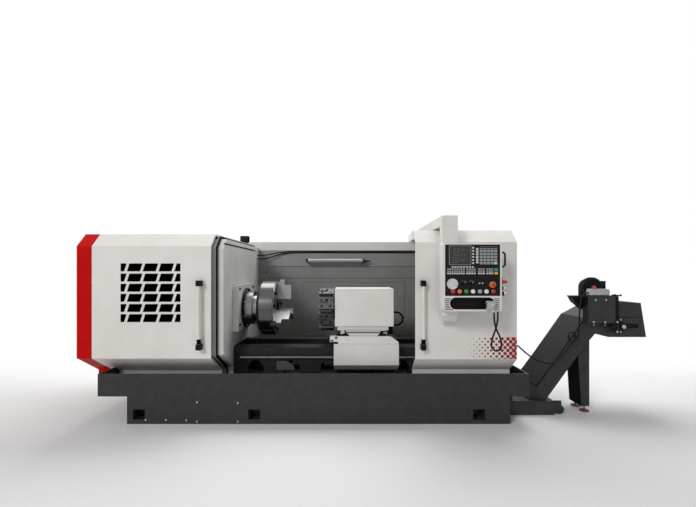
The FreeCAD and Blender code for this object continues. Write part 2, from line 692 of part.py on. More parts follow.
def make_motor_pulley():
    shaft = rod("motor_shaft", "x", S.pulley_left, S.motor_y, S.motor_z, S.motor_shaft,
                S.motor_left - S.slide_gap - S.pulley_left)
    wheel = turned("motor_wheel", "x",
                   pulley_loop(S.motor_shaft / 2, S.motor_pulley_radius, S.pulley_left,
                               S.pulley_width, S.pulley_flange),
                   depth=S.motor_y, height=S.motor_z)
    node("motor_pulley", joined("motor_pulley", [shaft, wheel]))


def belt_face(large, small, across, up, x_start):
    """The flat outline round two circles with an open belt's tangents."""
    length = math.hypot(across, up)
    heading = math.atan2(up, across)
    spread = math.acos((large - small) / length)

    base = S.spindle_height.value

    def at(cy, cz, radius, angle):
        return FreeCAD.Vector(x_start, cy + radius * math.cos(angle),
                              base + cz + radius * math.sin(angle))

    first = heading + spread
    second = heading - spread
    large_arc = Part.Arc(at(0, 0, large, first), at(0, 0, large, heading + math.pi),
                         at(0, 0, large, second))
    small_arc = Part.Arc(at(across, up, small, second), at(across, up, small, heading),
                         at(across, up, small, first))
    wire = Part.Wire([large_arc.toShape(),
                      Part.LineSegment(at(0, 0, large, second),
                                       at(across, up, small, second)).toShape(),
                      small_arc.toShape(),
                      Part.LineSegment(at(across, up, small, first),
                                       at(0, 0, large, first)).toShape()])
    return Part.Face(wire)


def make_drive_belt():
    gap = S.slide_gap.value
    across = S.motor_y.value
    up = S.motor_z.value - S.spindle_height.value
    lip = S.pulley_flange.value + gap
    start = S.pulley_left.value + lip
    large = S.pulley_radius.value + gap
    small = S.motor_pulley_radius.value + gap
    thick = S.belt_thickness.value
    outer = belt_face(large + thick, small + thick, across, up, start)
    inner = belt_face(large, small, across, up, start)
    run = FreeCAD.Vector(S.pulley_width.value - 2 * lip, 0, 0)
    belt = outer.extrude(run).cut(inner.extrude(run))
    node("drive_belt", made("drive_belt", belt))


# ---------------------------------------------------------------- doors and guards

class Hood:
    """A hood's section: front sheet, bevelled eave, roof, bevelled sill and skirt."""

    def __init__(self, sill, roof, run, drop, bevel, back):
        self.sill = sill
        self.roof = roof
        self.run = run
        self.drop = drop
        self.bevel = bevel
        self.back = back
        slope = (run * run + drop * drop).root()
        self.lean = (slope - drop) / run

    def edge(self, inset, foot, back=None):
        """The section's line from the skirt's foot up to the roof's rear edge."""
        front = S.front_face + inset
        sill = self.sill + inset * self.lean
        eave = self.roof - self.bevel - inset * TAN_22_5
        roof = self.roof - inset
        return [(front + self.run, foot), (front + self.run, sill - self.drop), (front, sill),
                (front, eave), (S.front_face + self.bevel + inset * TAN_22_5, roof),
                (self.back if back is None else back, roof)]

    def band(self, outside, inside, foot, back=None):
        """The closed ring between two insets: a sheet, a flange or a seal."""
        outer = self.edge(outside, foot, back)
        inner = self.edge(inside, foot, back)
        return outer + list(reversed(inner))


LEFT_HOOD = Hood(S.left_sill, S.left_roof, S.left_run, S.left_drop, S.left_bevel, S.left_back)
RIGHT_HOOD = Hood(S.right_sill, S.right_roof, S.right_run, S.right_drop, S.right_bevel,
                  S.right_back)


def vent_row():
    """One row of the vent: leaning openings between leaning bars, cut off square at the ends."""
    low = S.vent_low
    high = S.vent_low + S.vent_slot
    left = S.vent_left
    right = S.vent_left + S.vent_length
    first = left + S.vent_edge
    lean = S.vent_lean
    openings = [[(left, low), (first, low), (first + lean, high), (left, high)]]
    for column in range(3):
        start = first + S.vent_bar + S.vent_pitch * column
        end = first + S.vent_pitch * (column + 1)
        openings.append([(start, low), (end, low), (end + lean, high), (start + lean, high)])
    last = first + S.vent_bar + S.vent_pitch * 3
    openings.append([(last, low), (right, low), (right, high), (last + lean, high)])
    return openings


def make_left_door():
    body = extrusion("left_door", "x", [LEFT_HOOD.band(ZERO, S.sheet_gauge, SKIRT_FOOT)],
                     S.left_start, S.left_end - S.left_start)
    add(body, "x", [LEFT_HOOD.band(ZERO, S.flange_width, SKIRT_FOOT)],
        S.left_end - S.sheet_gauge, S.sheet_gauge)
    slots = remove(body, "y", vent_row(), S.front_face, S.sheet_gauge * 2)
    repeat(body, slots, "V_Axis", S.vent_row, 6)
    notch = [(S.left_start - 10, SKIRT_FOOT - 10), (S.skirt_notch, SKIRT_FOOT - 10),
             (S.skirt_notch, PAN_TOP + 10), (S.left_start - 10, S.cap_slope_low)]
    remove(body, "y", [notch], S.front_face, S.left_run + 100)
    node("left_door", body)


def make_left_seal():
    """A lip round the fixed collar, just inside the path of the door's end flange."""
    band = LEFT_HOOD.band(S.flange_width + 1, S.collar_inset - S.slide_gap, SKIRT_FOOT)
    node("left_door_seal", extrusion("left_door_seal", "x", [band], S.seal_left,
                                     S.seal_width))


def make_right_door():
    body = extrusion("right_door", "x", [RIGHT_HOOD.band(ZERO, S.sheet_gauge, SKIRT_FOOT)],
                     S.right_start, S.right_end - S.right_start)
    flange = RIGHT_HOOD.band(ZERO, S.flange_width, SKIRT_FOOT, S.left_back)
    add(body, "x", [flange], S.right_start, S.sheet_gauge)
    notch = rect(S.right_start - 10, S.right_start + S.roof_notch, S.roof_notch_front,
                 S.right_back + 10)
    remove(body, "z", [notch], S.roof_notch_low, S.right_roof - S.roof_notch_low + 10)
    node("right_door", body)


def handle_axis_y():
    return S.front_face - S.handle_stand


def make_handle(side, centre):
    tube = rod(side + "_door_handle", "z", centre, handle_axis_y(), S.handle_low,
               S.handle_radius, S.handle_length)
    node(side + "_door_handle", tube)


def handle_brackets(side, centre):
    """Two blocks that hold the tube's ends off the door."""
    brackets = []
    half = S.handle_radius + 6
    for end, height in (("low", S.handle_low - S.bracket_height / 2),
                        ("high", S.handle_low + S.handle_length - S.bracket_height / 2)):
        piece = block("%s_bracket_%s" % (side, end), centre - half,
                      handle_axis_y() - half, height, half * 2, S.handle_stand + half,
                      S.bracket_height)
        bore_height = S.handle_low if end == "low" else height
        seat = rod("%s_seat_%s" % (side, end), "z", centre, handle_axis_y(), bore_height,
                   S.handle_radius, S.bracket_height / 2)
        brackets.append(less("%s_end_%s" % (side, end), piece, seat))
    return brackets


ROLLER_Z = S.guard_top + S.rail_gauge + S.roller_radius + S.slide_gap
RAIL_BACK = S.guard_face + S.rail_depth
HANGER_FACE = RAIL_BACK + 10


def roller(name, centre):
    """A roller on its pin, inside the rail's channel."""
    wheel = rod(name, "y", centre, HANGER_FACE - S.roller_width - 10, ROLLER_Z,
                S.roller_radius, S.roller_width)
    pin = rod(name + "_pin", "y", centre, HANGER_FACE - 10 - S.slide_gap, ROLLER_Z,
              S.roller_pin, 10 + S.slide_gap * 2)
    return joined(name + "_unit", [wheel, pin])


def left_hanger(name, centre):
    """A strap from the roof up over the rail and down behind it."""
    low = ROLLER_Z - S.roller_radius
    top = S.guard_top + S.rail_height + S.hanger_rise
    thick = S.hanger_thickness
    front = S.left_back - 60
    strap = [(front, S.left_roof), (S.guard_face - thick * 2, S.left_roof),
             (S.guard_face - thick * 2, top), (HANGER_FACE, top), (HANGER_FACE, low),
             (HANGER_FACE + thick, low), (HANGER_FACE + thick, top + thick),
             (S.guard_face - thick * 3, top + thick), (S.guard_face - thick * 3,
                                                      S.left_roof + thick),
             (front, S.left_roof + thick)]
    return extrusion(name, "x", [strap], centre - S.hanger_width / 2, S.hanger_width)


def right_hanger(name, centre):
    """A plate from the roof's rear edge down behind the rail."""
    low = ROLLER_Z - S.roller_radius
    thick = S.hanger_thickness
    roof = S.right_roof - S.sheet_gauge
    plate = rect(HANGER_FACE, HANGER_FACE + thick, low, roof)
    return extrusion(name, "x", [plate], centre - S.hanger_width / 2, S.hanger_width)


def make_hangers(side, hanger, centres, handle_x):
    pieces = handle_brackets(side, handle_x)
    for number, centre in enumerate(centres, 1):
        plate = hanger("%s_hanger_%d" % (side, number), centre)
        wheel = roller("%s_roller_%d" % (side, number), centre)
        pieces.append(joined("%s_truck_%d" % (side, number), [plate, wheel]))
    node(side + "_door_brackets", group(side + "_door_brackets", pieces))


def make_headstock_guard():
    inset = S.collar_inset
    gauge = S.sheet_gauge
    body = extrusion("headstock_guard", "x",
                     [LEFT_HOOD.band(inset, inset + gauge, SKIRT_FOOT, S.guard_face)],
                     S.collar_left, S.wall_face - S.collar_left)
    edge = LEFT_HOOD.edge(inset, SKIRT_FOOT, S.guard_face)
    gap = S.cutout_gap
    head = S.head_half + gap
    bed = HALF_BED + gap
    wall = edge[1:] + [(S.guard_face, PAN_FLOOR), (bed, PAN_FLOOR), (bed, S.bed_top + gap),
                       (-bed, S.bed_top + gap), (-bed, edge[1][1])]
    window = rect(-head, head, S.nose_low - gap, S.head_top + gap)
    add(body, "x", [wall, window], S.wall_face - S.wall_gauge, S.wall_gauge)
    node("headstock_guard", body)


def cap_block(name, inset, left, right, back, lift):
    """The hood's section as a block whose underside slopes down to the right."""
    edge = LEFT_HOOD.edge(inset, SKIRT_FOOT, back)
    outline = edge[1:] + [(back, edge[1][1])]
    body = extrusion(name, "x", [outline], left, right - left)
    low = S.cap_slope_low + lift
    slope = [(S.cap_left, low - 200), (S.left_start, low - 200), (S.left_start, low),
             (S.cap_left, S.cap_slope_top + lift)]
    remove(body, "y", [slope], S.front_face, back - S.front_face)
    return body


def make_end_cap():
    gauge = S.sheet_gauge
    right = S.left_start - gauge
    outside = cap_block("cap_outside", ZERO, S.cap_left, right, S.guard_face, ZERO)
    inside = cap_block("cap_inside", gauge, S.cap_left + gauge, S.left_start, S.guard_face + gauge,
                       gauge * 1.25)
    node("end_cap", less("end_cap", outside, inside))


def band_y(height):
    """How far back the guard's proud upper band is at a height."""
    rise = (height - S.band_low) / (S.guard_top - S.band_low)
    return S.guard_face - S.band_proud + S.band_proud * rise


def make_rear_guard():
    face = S.guard_face
    back = face + S.guard_gauge
    mid = face - S.mid_proud
    body = extrusion("rear_guard", "x", [rect(face, back, PAN_FLOOR, S.guard_top)], S.cap_left,
                     S.tail_wall + S.guard_gauge - S.cap_left)
    bands = [(face, S.mid_low), (mid, S.mid_low), (mid, S.band_low), (band_y(S.band_low), S.band_low),
             (face, S.guard_top)]
    add(body, "x", [bands], S.wall_face, S.tail_wall - S.wall_face)
    right = S.frame_left + S.frame_length
    high = S.frame_low + S.frame_height
    add(body, "y", [rect(S.frame_left, right, S.frame_low, high)], face - S.frame_proud,
        S.frame_proud)
    width = S.frame_width
    remove(body, "y", [rect(S.frame_left + width, right - width, S.frame_low + width,
                            high - width)], face - S.frame_proud, S.frame_proud / 2)
    edge = RIGHT_HOOD.edge(S.collar_inset, PAN_FLOOR, face)
    add(body, "x", [edge + [(face, PAN_FLOOR)]], S.tail_wall, S.guard_gauge)
    over_pan = rect(S.cap_left, S.pan_left + S.pan_lip + S.sheet_gauge, PAN_FLOOR,
                    PAN_TOP + S.sheet_gauge)
    remove(body, "y", [over_pan], face, S.guard_gauge)
    node("rear_guard", body)


def make_rear_rail():
    low = S.guard_top
    top = low + S.rail_height
    gauge = S.rail_gauge
    face = S.guard_face
    section = [(face, low), (RAIL_BACK, low), (RAIL_BACK, low + gauge),
               (face + gauge, low + gauge), (face + gauge, top - gauge),
               (RAIL_BACK, top - gauge), (RAIL_BACK, top), (face, top)]
    node("rear_rail", extrusion("rear_rail", "x", [section], S.cap_left,
                                S.right_end - S.cap_left))


def make_work_lamp():
    tube = rod("lamp_tube", "x", S.lamp_left, S.lamp_y, S.lamp_height, S.lamp_radius,
               S.lamp_length)
    pieces = [tube]
    arm = as_size(24.0)
    for number, start in enumerate((S.lamp_left, S.lamp_left + S.lamp_length - arm), 1):
        reach = band_y(S.lamp_height - arm / 2) - S.lamp_y
        pieces.append(block("lamp_arm_%d" % number, start, S.lamp_y,
                            S.lamp_height - arm / 2, arm, reach, arm))
    node("work_lamp", joined("work_lamp", pieces))


# ---------------------------------------------------------------- carriage and turret

BASE_TOP = S.saddle_top + S.base_height
BASE_MIDDLE = S.base_left + S.base_length / 2


def make_carriage():
    gap = S.slide_gap
    keeper = WAY_FACE + gap * 5
    top = S.saddle_top
    section = [(S.apron_front, S.apron_low), (-keeper, S.apron_low), (-keeper, S.bed_top + gap)]
    section += vee_points(gap)
    section += [(keeper, S.bed_top + gap), (keeper, S.keeper_low),
                (keeper + S.keeper_width, S.keeper_low), (keeper + S.keeper_width, top),
                (S.apron_front, top)]
    body = extrusion("carriage", "x", [section], S.carriage_left, S.carriage_length)
    depth = keeper + S.keeper_width - S.apron_front
    add(body, "y", [rect(S.base_left, S.base_left + S.base_length, top, BASE_TOP)],
        S.apron_front, depth)
    half = S.dovetail_width / 2
    lean = S.dovetail_lean
    rise = S.dovetail_height
    dovetail = [(BASE_MIDDLE - half, BASE_TOP), (BASE_MIDDLE + half, BASE_TOP),
                (BASE_MIDDLE + half + lean, BASE_TOP + rise),
                (BASE_MIDDLE - half - lean, BASE_TOP + rise)]
    add(body, "y", [dovetail], S.apron_front, depth)
    reach = S.screw_radius * 2
    nut = [rect(S.screw_y - reach, S.screw_y + reach, S.screw_z - reach, S.bed_top + gap),
           Circle(S.screw_y, S.screw_z, S.screw_radius + S.bearing_gap)]
    add(body, "x", nut, BASE_MIDDLE - reach, reach * 2)
    node("carriage", body)


def make_apron_cover():
    back = S.apron_front
    front = S.cover_front
    low = S.apron_low
    high = low + S.cover_height
    rear = -WAY_FACE - S.slide_gap * 5
    section = [(front, low), (front, high), (back, high), (back, low), (rear, low),
               (rear, low - S.cover_drop), (front + S.cover_run, low - S.cover_drop)]
    node("apron_cover", extrusion("apron_cover", "x", [section], S.carriage_left,
                                  S.carriage_length))


def make_cross_slide():
    gap = S.slide_gap
    half = S.dovetail_width / 2 + gap * 2
    lean = S.dovetail_lean
    low = BASE_TOP + gap
    roof = BASE_TOP + S.dovetail_height + gap
    left = S.base_left + S.base_inset
    right = S.base_left + S.base_length - S.base_inset
    top = low + S.slide_height
    outline = [(left, low), (BASE_MIDDLE - half, low), (BASE_MIDDLE - half - lean, roof),
               (BASE_MIDDLE + half + lean, roof), (BASE_MIDDLE + half, low), (right, low),
               (right, top), (left, top)]
    node("cross_slide", extrusion("cross_slide", "y", [outline], S.slide_front,
                                  S.slide_depth))


def make_slide_cover():
    low = S.apron_low + S.cover_height + S.slide_gap
    front = S.apron_front - S.slide_cover_depth
    plate = extrusion("slide_cover_plate", "y",
                      [rect(S.base_left, S.base_left + S.base_length, low, BASE_TOP)], front,
                      S.slide_cover_depth)
    switch = block("limit_switch", S.base_left - S.switch_length, front,
                   BASE_TOP - S.switch_height, S.switch_length, S.switch_depth,
                   S.switch_height)
    node("cross_slide_cover", group("cross_slide_cover", [plate, switch]))


def make_turret_housing():
    left = S.turret_left
    right = left + S.turret_length
    back = S.turret_front + S.turret_depth
    body = extrusion("turret_housing", "z", [rect(left, right, S.turret_front, back)],
                     S.turret_low, S.turret_height)
    foot = BASE_TOP + S.slide_gap + S.slide_height
    inset = S.lip_inset
    add(body, "z", [rect(S.lip_left, S.lip_left + S.lip_length, S.turret_front + inset,
                         back - inset)], foot, S.turret_low - foot)
    remove(body, "x", [Circle(S.disc_y, S.spindle_height, S.disc_shaft + S.bearing_gap)],
           left, S.disc_shaft + S.slide_gap * 2)
    round_edges(body, ALONG_Y, S.panel_gauge, lambda edge: edge.CenterOfMass.z > 1300)
    node("turret_housing", body)


def octagon(flat):
    """Corners of an octagon that stands on a corner, from its flats' distance."""
    corner = flat / math.cos(math.radians(22.5))
    side = corner * math.cos(math.radians(45.0))
    return [(corner, ZERO), (side, side), (ZERO, corner), (-side, side), (-corner, ZERO),
            (-side, -side), (ZERO, -corner), (side, -side)]


def make_turret_disc():
    body = extrusion("turret_drum", "x", [octagon(S.disc_flat)], S.disc_left, S.disc_width)
    add(body, "x", [Circle(ZERO, ZERO, S.disc_shaft)], S.disc_left,
        S.turret_left + S.disc_shaft - S.disc_left)
    remove(body, "x", [Circle(ZERO, ZERO, S.disc_shaft)], S.disc_left, S.disc_recess)
    place(body, ZERO, S.disc_y, S.spindle_height)
    pieces = [body]
    half = S.block_width / 2
    left = S.disc_left + (S.disc_width - S.block_length) / 2
    for number in range(TURRET_STATIONS):
        tool = extrusion("tool_block_%d" % (number + 1), "x",
                         [rect(-half, half, S.disc_flat, S.disc_flat + S.block_height)],
                         left, S.block_length)
        slot = rect(-half / 4, half / 4, S.disc_flat + S.block_height / 2,
                    S.disc_flat + S.block_height)
        remove(tool, "x", [slot], left, S.block_length * 0.6)
        angle = (number + 0.5) * ROUND / TURRET_STATIONS
        turn = FreeCAD.Rotation(FreeCAD.Vector(1, 0, 0), angle)
        tool.Placement = FreeCAD.Placement(FreeCAD.Vector(), turn)
        pieces.append(place(tool, ZERO, S.disc_y, S.spindle_height))
    node("turret_disc", group("turret_disc", pieces))


def make_turret_hose():
    start = S.turret_left + S.turret_length
    middle = S.turret_low + S.hose_bend - S.hose_radius
    bend = doc.addObject("Part::Torus", "hose_bend")
    bind(bend, "Radius1", S.hose_bend)
    bind(bend, "Radius2", S.hose_radius)
    bend.Angle3 = ROUND / 2
    bend.Placement = FreeCAD.Placement(FreeCAD.Vector(),
                                       FreeCAD.Rotation(FreeCAD.Vector(1, 0, 0), 90)
                                       * FreeCAD.Rotation(FreeCAD.Vector(0, 0, 1), -90))
    place(bend, start + S.hose_reach, S.disc_y, middle)
    upper = rod("hose_upper", "x", start, S.disc_y, middle + S.hose_bend, S.hose_radius,
                S.hose_reach)
    lower = rod("hose_lower", "x", start, S.disc_y, middle - S.hose_bend, S.hose_radius,
                S.hose_reach)
    hose = joined("hose_loop", [bend, upper, lower])
    clamp = block("hose_clamp", S.lip_left + S.lip_length, S.turret_front + S.lip_inset,
                  S.turret_low - S.clamp_height, S.clamp_length, S.clamp_depth,
                  S.clamp_height)
    node("turret_hose", group("turret_hose", [hose, clamp]))


# ---------------------------------------------------------------- screw and tailstock

def make_screw():
    journal = S.screw_radius * 0.75
    loop = [(S.screw_left, ZERO), (S.bed_right + 10, ZERO), (S.bed_right + 10, journal),
            (S.bed_right - 60, journal), (S.bed_right - 60, S.screw_radius),
            (S.screw_left + 60, S.screw_radius), (S.screw_left + 60, journal),
            (S.screw_left, journal)]
    node("ball_screw", turned("ball_screw", "x", loop, depth=S.screw_y, height=S.screw_z))


def make_axis_drive():
    journal = S.screw_radius * 0.75 + S.bearing_gap
    reach = S.screw_radius * 2
    end = S.block_end + 50
    support = extrusion("screw_support", "x",
                        [rect(S.screw_y - reach, S.screw_y + reach, S.trough_floor,
                              S.screw_z + reach * 0.8),
                         Circle(S.screw_y, S.screw_z, journal)], S.block_end, end - S.block_end)
    plate = extrusion("motor_plate", "x",
                      [rect(S.screw_y - reach * 2, S.screw_y + reach * 2,
                            S.screw_z - reach * 2, S.screw_z + reach * 0.9),
                       Circle(S.screw_y, S.screw_z, journal)], S.bed_right, as_size(12.0))
    motor = rod("servo_motor", "x", S.bed_right + 12, S.screw_y, S.screw_z, S.servo_radius,
                S.servo_length)
    node("axis_drive", group("axis_drive", [support, joined("servo_unit", [plate, motor])]))


def make_tailstock():
    gap = S.slide_gap
    half = S.tail_half
    waist = S.tail_waist
    low = S.bed_top + gap
    base = low + S.bed_wall
    section = [(-half - S.way_overhang, low)]
    section += vee_points(gap)
    section += [(half, low), (half, base), (waist, base + S.bed_wall),
                (waist, S.tail_top - waist / 2), (waist / 2, S.tail_top),
                (-waist / 2, S.tail_top), (-waist, S.tail_top - waist / 2),
                (-waist, base + S.bed_wall), (-half, base), (-half - S.way_overhang, base)]
    body = extrusion("tailstock", "x", [section], S.tail_left, S.tail_length)
    remove(body, "x", [Circle(ZERO, S.spindle_height, S.quill_radius + S.bearing_gap)],
           S.tail_left, S.tail_length - S.bed_wall / 2)
    node("tailstock", body)


def make_quill():
    front = S.tail_left - S.quill_reach
    rear = S.tail_left + S.tail_length - S.bed_wall
    nose = S.quill_radius / 2
    loop = [(S.centre_tip, ZERO), (rear, ZERO), (rear, S.quill_radius), (front, S.quill_radius),
            (front, nose), (S.centre_tip + nose * 1.7, nose)]
    node("quill", turned("quill", "x", loop, height=S.spindle_height))


# ---------------------------------------------------------------- pendant

ARM_RIGHT = S.arm_left + S.arm_width
PIN_X = S.arm_left + S.arm_width / 2
PIN_Y = S.arm_front + S.column_depth / 2
COLUMN_TOP = S.arm_low - S.slide_gap
BOX_BACK = S.arm_front


def make_pendant_arm():
    top = S.arm_low + S.arm_height
    rear = S.pan_rear + S.post_depth
    outline = [(S.pan_rear, ZERO), (rear, ZERO), (rear, top), (S.arm_front, top),
               (S.arm_front, S.arm_low), (S.pan_rear, S.arm_low)]
    body = extrusion("pendant_arm", "x", [outline], S.arm_left, S.arm_width)
    remove(body, "z", [Circle(PIN_X, PIN_Y, S.pin_radius + S.bearing_gap)], S.arm_low,
           S.pin_length + S.slide_gap)
    node("pendant_arm", body)


def make_pendant_column():
    back = S.arm_front + S.column_depth
    outline = [(S.arm_front, S.column_low + S.column_bevel), (S.arm_front, COLUMN_TOP),
               (back, COLUMN_TOP), (back, S.column_low), (S.arm_front + S.column_bevel,
                                                          S.column_low)]
    body = extrusion("pendant_column", "x", [outline], S.arm_left, S.arm_width)
    add(body, "z", [Circle(PIN_X, PIN_Y, S.pin_radius)], COLUMN_TOP - S.pin_radius,
        S.pin_radius + S.pin_length)
    node("pendant_column", body)


def stadium(body, left, low, width, height, start, length):
    """A round-ended pocket in the front."""
    radius = height / 2
    middle = rect(left + radius, left + width - radius, low, low + height)
    remove(body, "y", [middle], start, length)
    for centre in (left + radius, left + width - radius):
        remove(body, "y", [Circle(centre, low + radius, radius)], start, length)


def make_control_box():
    left = S.box_left
    right = left + S.box_width
    low = S.box_low
    high = low + S.box_height
    bevel = S.box_bevel
    outline = [(left + bevel, low), (right - bevel, low), (right, low + bevel),
               (right, high - bevel), (right - bevel, high), (left + bevel, high),
               (left, high - bevel), (left, low + bevel)]
    body = extrusion("control_box", "y", [outline], S.box_front, BOX_BACK - S.box_front)
    seat = rect(S.panel_left, S.panel_left + S.panel_width, S.panel_low,
                S.panel_low + S.panel_height)
    remove(body, "y", [seat], S.box_front, S.panel_seat + S.panel_gauge)
    stadium(body, S.recess_left, S.recess_low, S.recess_width, S.recess_height, S.box_front,
            S.recess_depth)
    foot = S.grip_low
    head = S.grip_low + S.grip_height
    reach = right + S.grip_reach
    bar = S.grip_bar
    corner = S.grip_reach / 3
    grip = [(right, foot), (reach - corner, foot), (reach, foot + corner),
            (reach, head - corner), (reach - corner, head), (right, head), (right, head - bar),
            (reach - corner - bar / 2, head - bar), (reach - bar, head - corner - bar / 2),
            (reach - bar, foot + corner + bar / 2), (reach - corner - bar / 2, foot + bar),
            (right, foot + bar)]
    add(body, "y", [grip], S.grip_y, bar)
    node("control_box", body)


PANEL_FACE = S.box_front + S.panel_seat
STEM_RADIUS = S.button_radius * 0.6
STEM_HOLE = S.button_radius * 0.6 + S.bearing_gap
WHEEL_STEM = S.selector_radius * 0.5


def button_x(place_number):
    return S.button_first + S.button_pitch * place_number


def make_control_panel():
    left = S.panel_left
    width = S.panel_width
    outline = rect(left, left + width, S.panel_low, S.panel_low + S.panel_height)
    holes = [Circle(S.wheel_x, S.wheel_z, WHEEL_STEM + S.bearing_gap),
             Circle(S.selector_1_x, S.selector_z, WHEEL_STEM + S.bearing_gap),
             Circle(S.selector_2_x, S.selector_z, WHEEL_STEM + S.bearing_gap),
             Circle(S.estop_x, S.estop_z, STEM_HOLE)]
    for number in (0, 2, 4):
        holes.append(Circle(button_x(number), S.button_z, STEM_HOLE))
    body = extrusion("control_panel", "y", [outline] + holes, PANEL_FACE, S.panel_gauge)
    screen = rect(S.screen_left, S.screen_left + S.screen_width, S.screen_low,
                  S.screen_low + S.screen_height)
    remove(body, "y", [screen], PANEL_FACE, S.panel_gauge / 3)
    rise = S.key_travel_gap
    key = rect(S.keypad_left, S.keypad_left + S.key_width, S.keypad_low,
               S.keypad_low + S.key_height)
    keypad = add(body, "y", [key], PANEL_FACE - rise, rise)
    grid = repeat(body, keypad, "H_Axis", S.key_pitch_x, 5)
    grid.Direction2 = (keypad.Profile[0], ["V_Axis"])
    bind(grid, "Length2", S.key_pitch_z * 5)
    grid.Occurrences2 = 6
    soft = rect(S.screen_left + S.screen_width + 15, S.screen_left + S.screen_width + 33,
                S.keypad_low, S.keypad_low + S.key_height)
    soft_keys = add(body, "y", [soft], PANEL_FACE - rise, rise)
    repeat(body, soft_keys, "V_Axis", S.key_pitch_z, 6)
    pads = []
    for start, length in ((1198.0, 165.0), (1374.0, 88.0), (1480.0, 66.0), (1557.0, 66.0)):
        offset = start - SIZES["panel_left"]
        pads.append(rect(left + offset, left + offset + length, S.panel_low + 197,
                         S.panel_low + 255))
    add(body, "y", pads, PANEL_FACE - rise, rise)
    lamps = [Circle(button_x(number), S.button_z, S.button_radius) for number in (1, 3, 5, 6)]
    add(body, "y", lamps, PANEL_FACE - S.button_radius, S.button_radius)
    node("control_panel", body)


def make_handwheel():
    back = -S.slide_gap
    depth = as_size(20.0)
    rim = S.wheel_radius
    loop = [(back, ZERO), (back - depth, ZERO), (back - depth, rim * 0.3),
            (back - depth * 0.6, rim * 0.35), (back - depth * 0.6, rim * 0.75),
            (back - depth, rim * 0.8), (back - depth, rim), (back, rim)]
    dial = turned("wheel_dial", "y", loop, S.wheel_x, PANEL_FACE, S.wheel_z)
    stem = rod("wheel_stem", "y", S.wheel_x, PANEL_FACE - S.slide_gap * 2, S.wheel_z,
               WHEEL_STEM, S.panel_gauge)
    knob = rod("wheel_knob", "y", S.wheel_x + rim * 0.6, PANEL_FACE - depth * 2, S.wheel_z,
               rim * 0.16, depth * 1.5)
    node("handwheel", joined("handwheel", [dial, stem, knob]))


def make_selector(number, across):
    radius = S.selector_radius
    body = turned("selector_%d_knob" % number, "y",
                  [(-S.slide_gap, ZERO), (-radius, ZERO), (-radius, radius * 0.85),
                   (-S.slide_gap, radius)], across, PANEL_FACE, S.selector_z)
    grip = block("selector_%d_grip" % number, across - radius * 0.2,
                 PANEL_FACE - radius * 1.5, S.selector_z - radius * 0.8, radius * 0.4, radius,
                 radius * 1.6)
    stem = rod("selector_%d_stem" % number, "y", across, PANEL_FACE - S.slide_gap * 2,
               S.selector_z, WHEEL_STEM, S.panel_gauge)
    node("selector_%d" % number, joined("selector_%d" % number, [body, grip, stem]))


def make_button(name, across, height, radius, depth):
    """A cap that stands off the panel by its travel, on a stem through the panel."""
    travel = S.key_travel_gap * 2
    cap = turned(name + "_cap", "y",
                 [(-travel, ZERO), (-travel - depth, ZERO), (-travel - depth, radius * 0.8),
                  (-travel - depth * 0.7, radius), (-travel, radius)],
                 across, PANEL_FACE, height)
    stem = rod(name + "_stem", "y", across, PANEL_FACE - travel - S.slide_gap, height,
               STEM_RADIUS, S.panel_gauge)
    node(name, joined(name, [cap, stem]))


def make_pulse_unit():
    left = S.pulse_x - S.pulse_width / 2
    low = S.pulse_z - S.pulse_height / 2
    case = block("pulse_case", left, S.box_front - 26, low, S.pulse_width, as_size(26.0),
                 S.pulse_height)
    dial = turned("pulse_dial", "y", [(ZERO, ZERO), (as_size(-16.0), ZERO),
                                      (as_size(-16.0), S.dial_radius - 5),
                                      (ZERO, S.dial_radius)],
                  S.pulse_x - 10, S.box_front - 26, S.pulse_z + 7)
    node("pulse_unit", joined("pulse_unit", [case, dial]))


# ---------------------------------------------------------------- conveyor

CONVEYOR_BACK = S.conveyor_front + S.conveyor_width
# Corners of the casing's side plates (X, Z), up the top edge and back down the lower edge.
CASING_TOP = [(2233.0, 147.0), (2530.0, 543.0), (2866.0, 1019.0), (3210.0, 1203.0),
              (3449.0, 1187.0), (3507.0, 819.0)]
CASING_LOW = [(3099.0, 819.0), (2959.0, 857.0), (2891.0, 779.0), (2770.0, 619.0),
              (2428.0, 147.0)]
DISCHARGE_EDGE = 5
BELT_PATH = [(1985.0, 90.0), (2290.0, 90.0), (2871.0, 913.0), (2990.0, 975.0)]


def height_on(points, across):
    """Height of a chain of casing corners at a place along X."""
    for (x0, z0), (x1, z1) in zip(points, points[1:]):
        if min(x0, x1) <= across <= max(x0, x1):
            return z0 + (across - x0) * (z1 - z0) / (x1 - x0)
    return points[-1][1]


def inset_corners(points, insets):
    """How far each corner of a clockwise outline moves when its edges move in."""
    moves = []
    count = len(points)
    normals = []
    for index, (x0, z0) in enumerate(points):
        x1, z1 = points[(index + 1) % count]
        length = math.hypot(x1 - x0, z1 - z0)
        normals.append(((z1 - z0) / length, -(x1 - x0) / length))
    for index in range(count):
        (ax, az), (bx, bz) = normals[index - 1], normals[index]
        before, after = insets[index - 1], insets[index]
        area = ax * bz - az * bx
        moves.append(((before * bz - after * az) / area, (after * ax - before * bx) / area))
    return moves


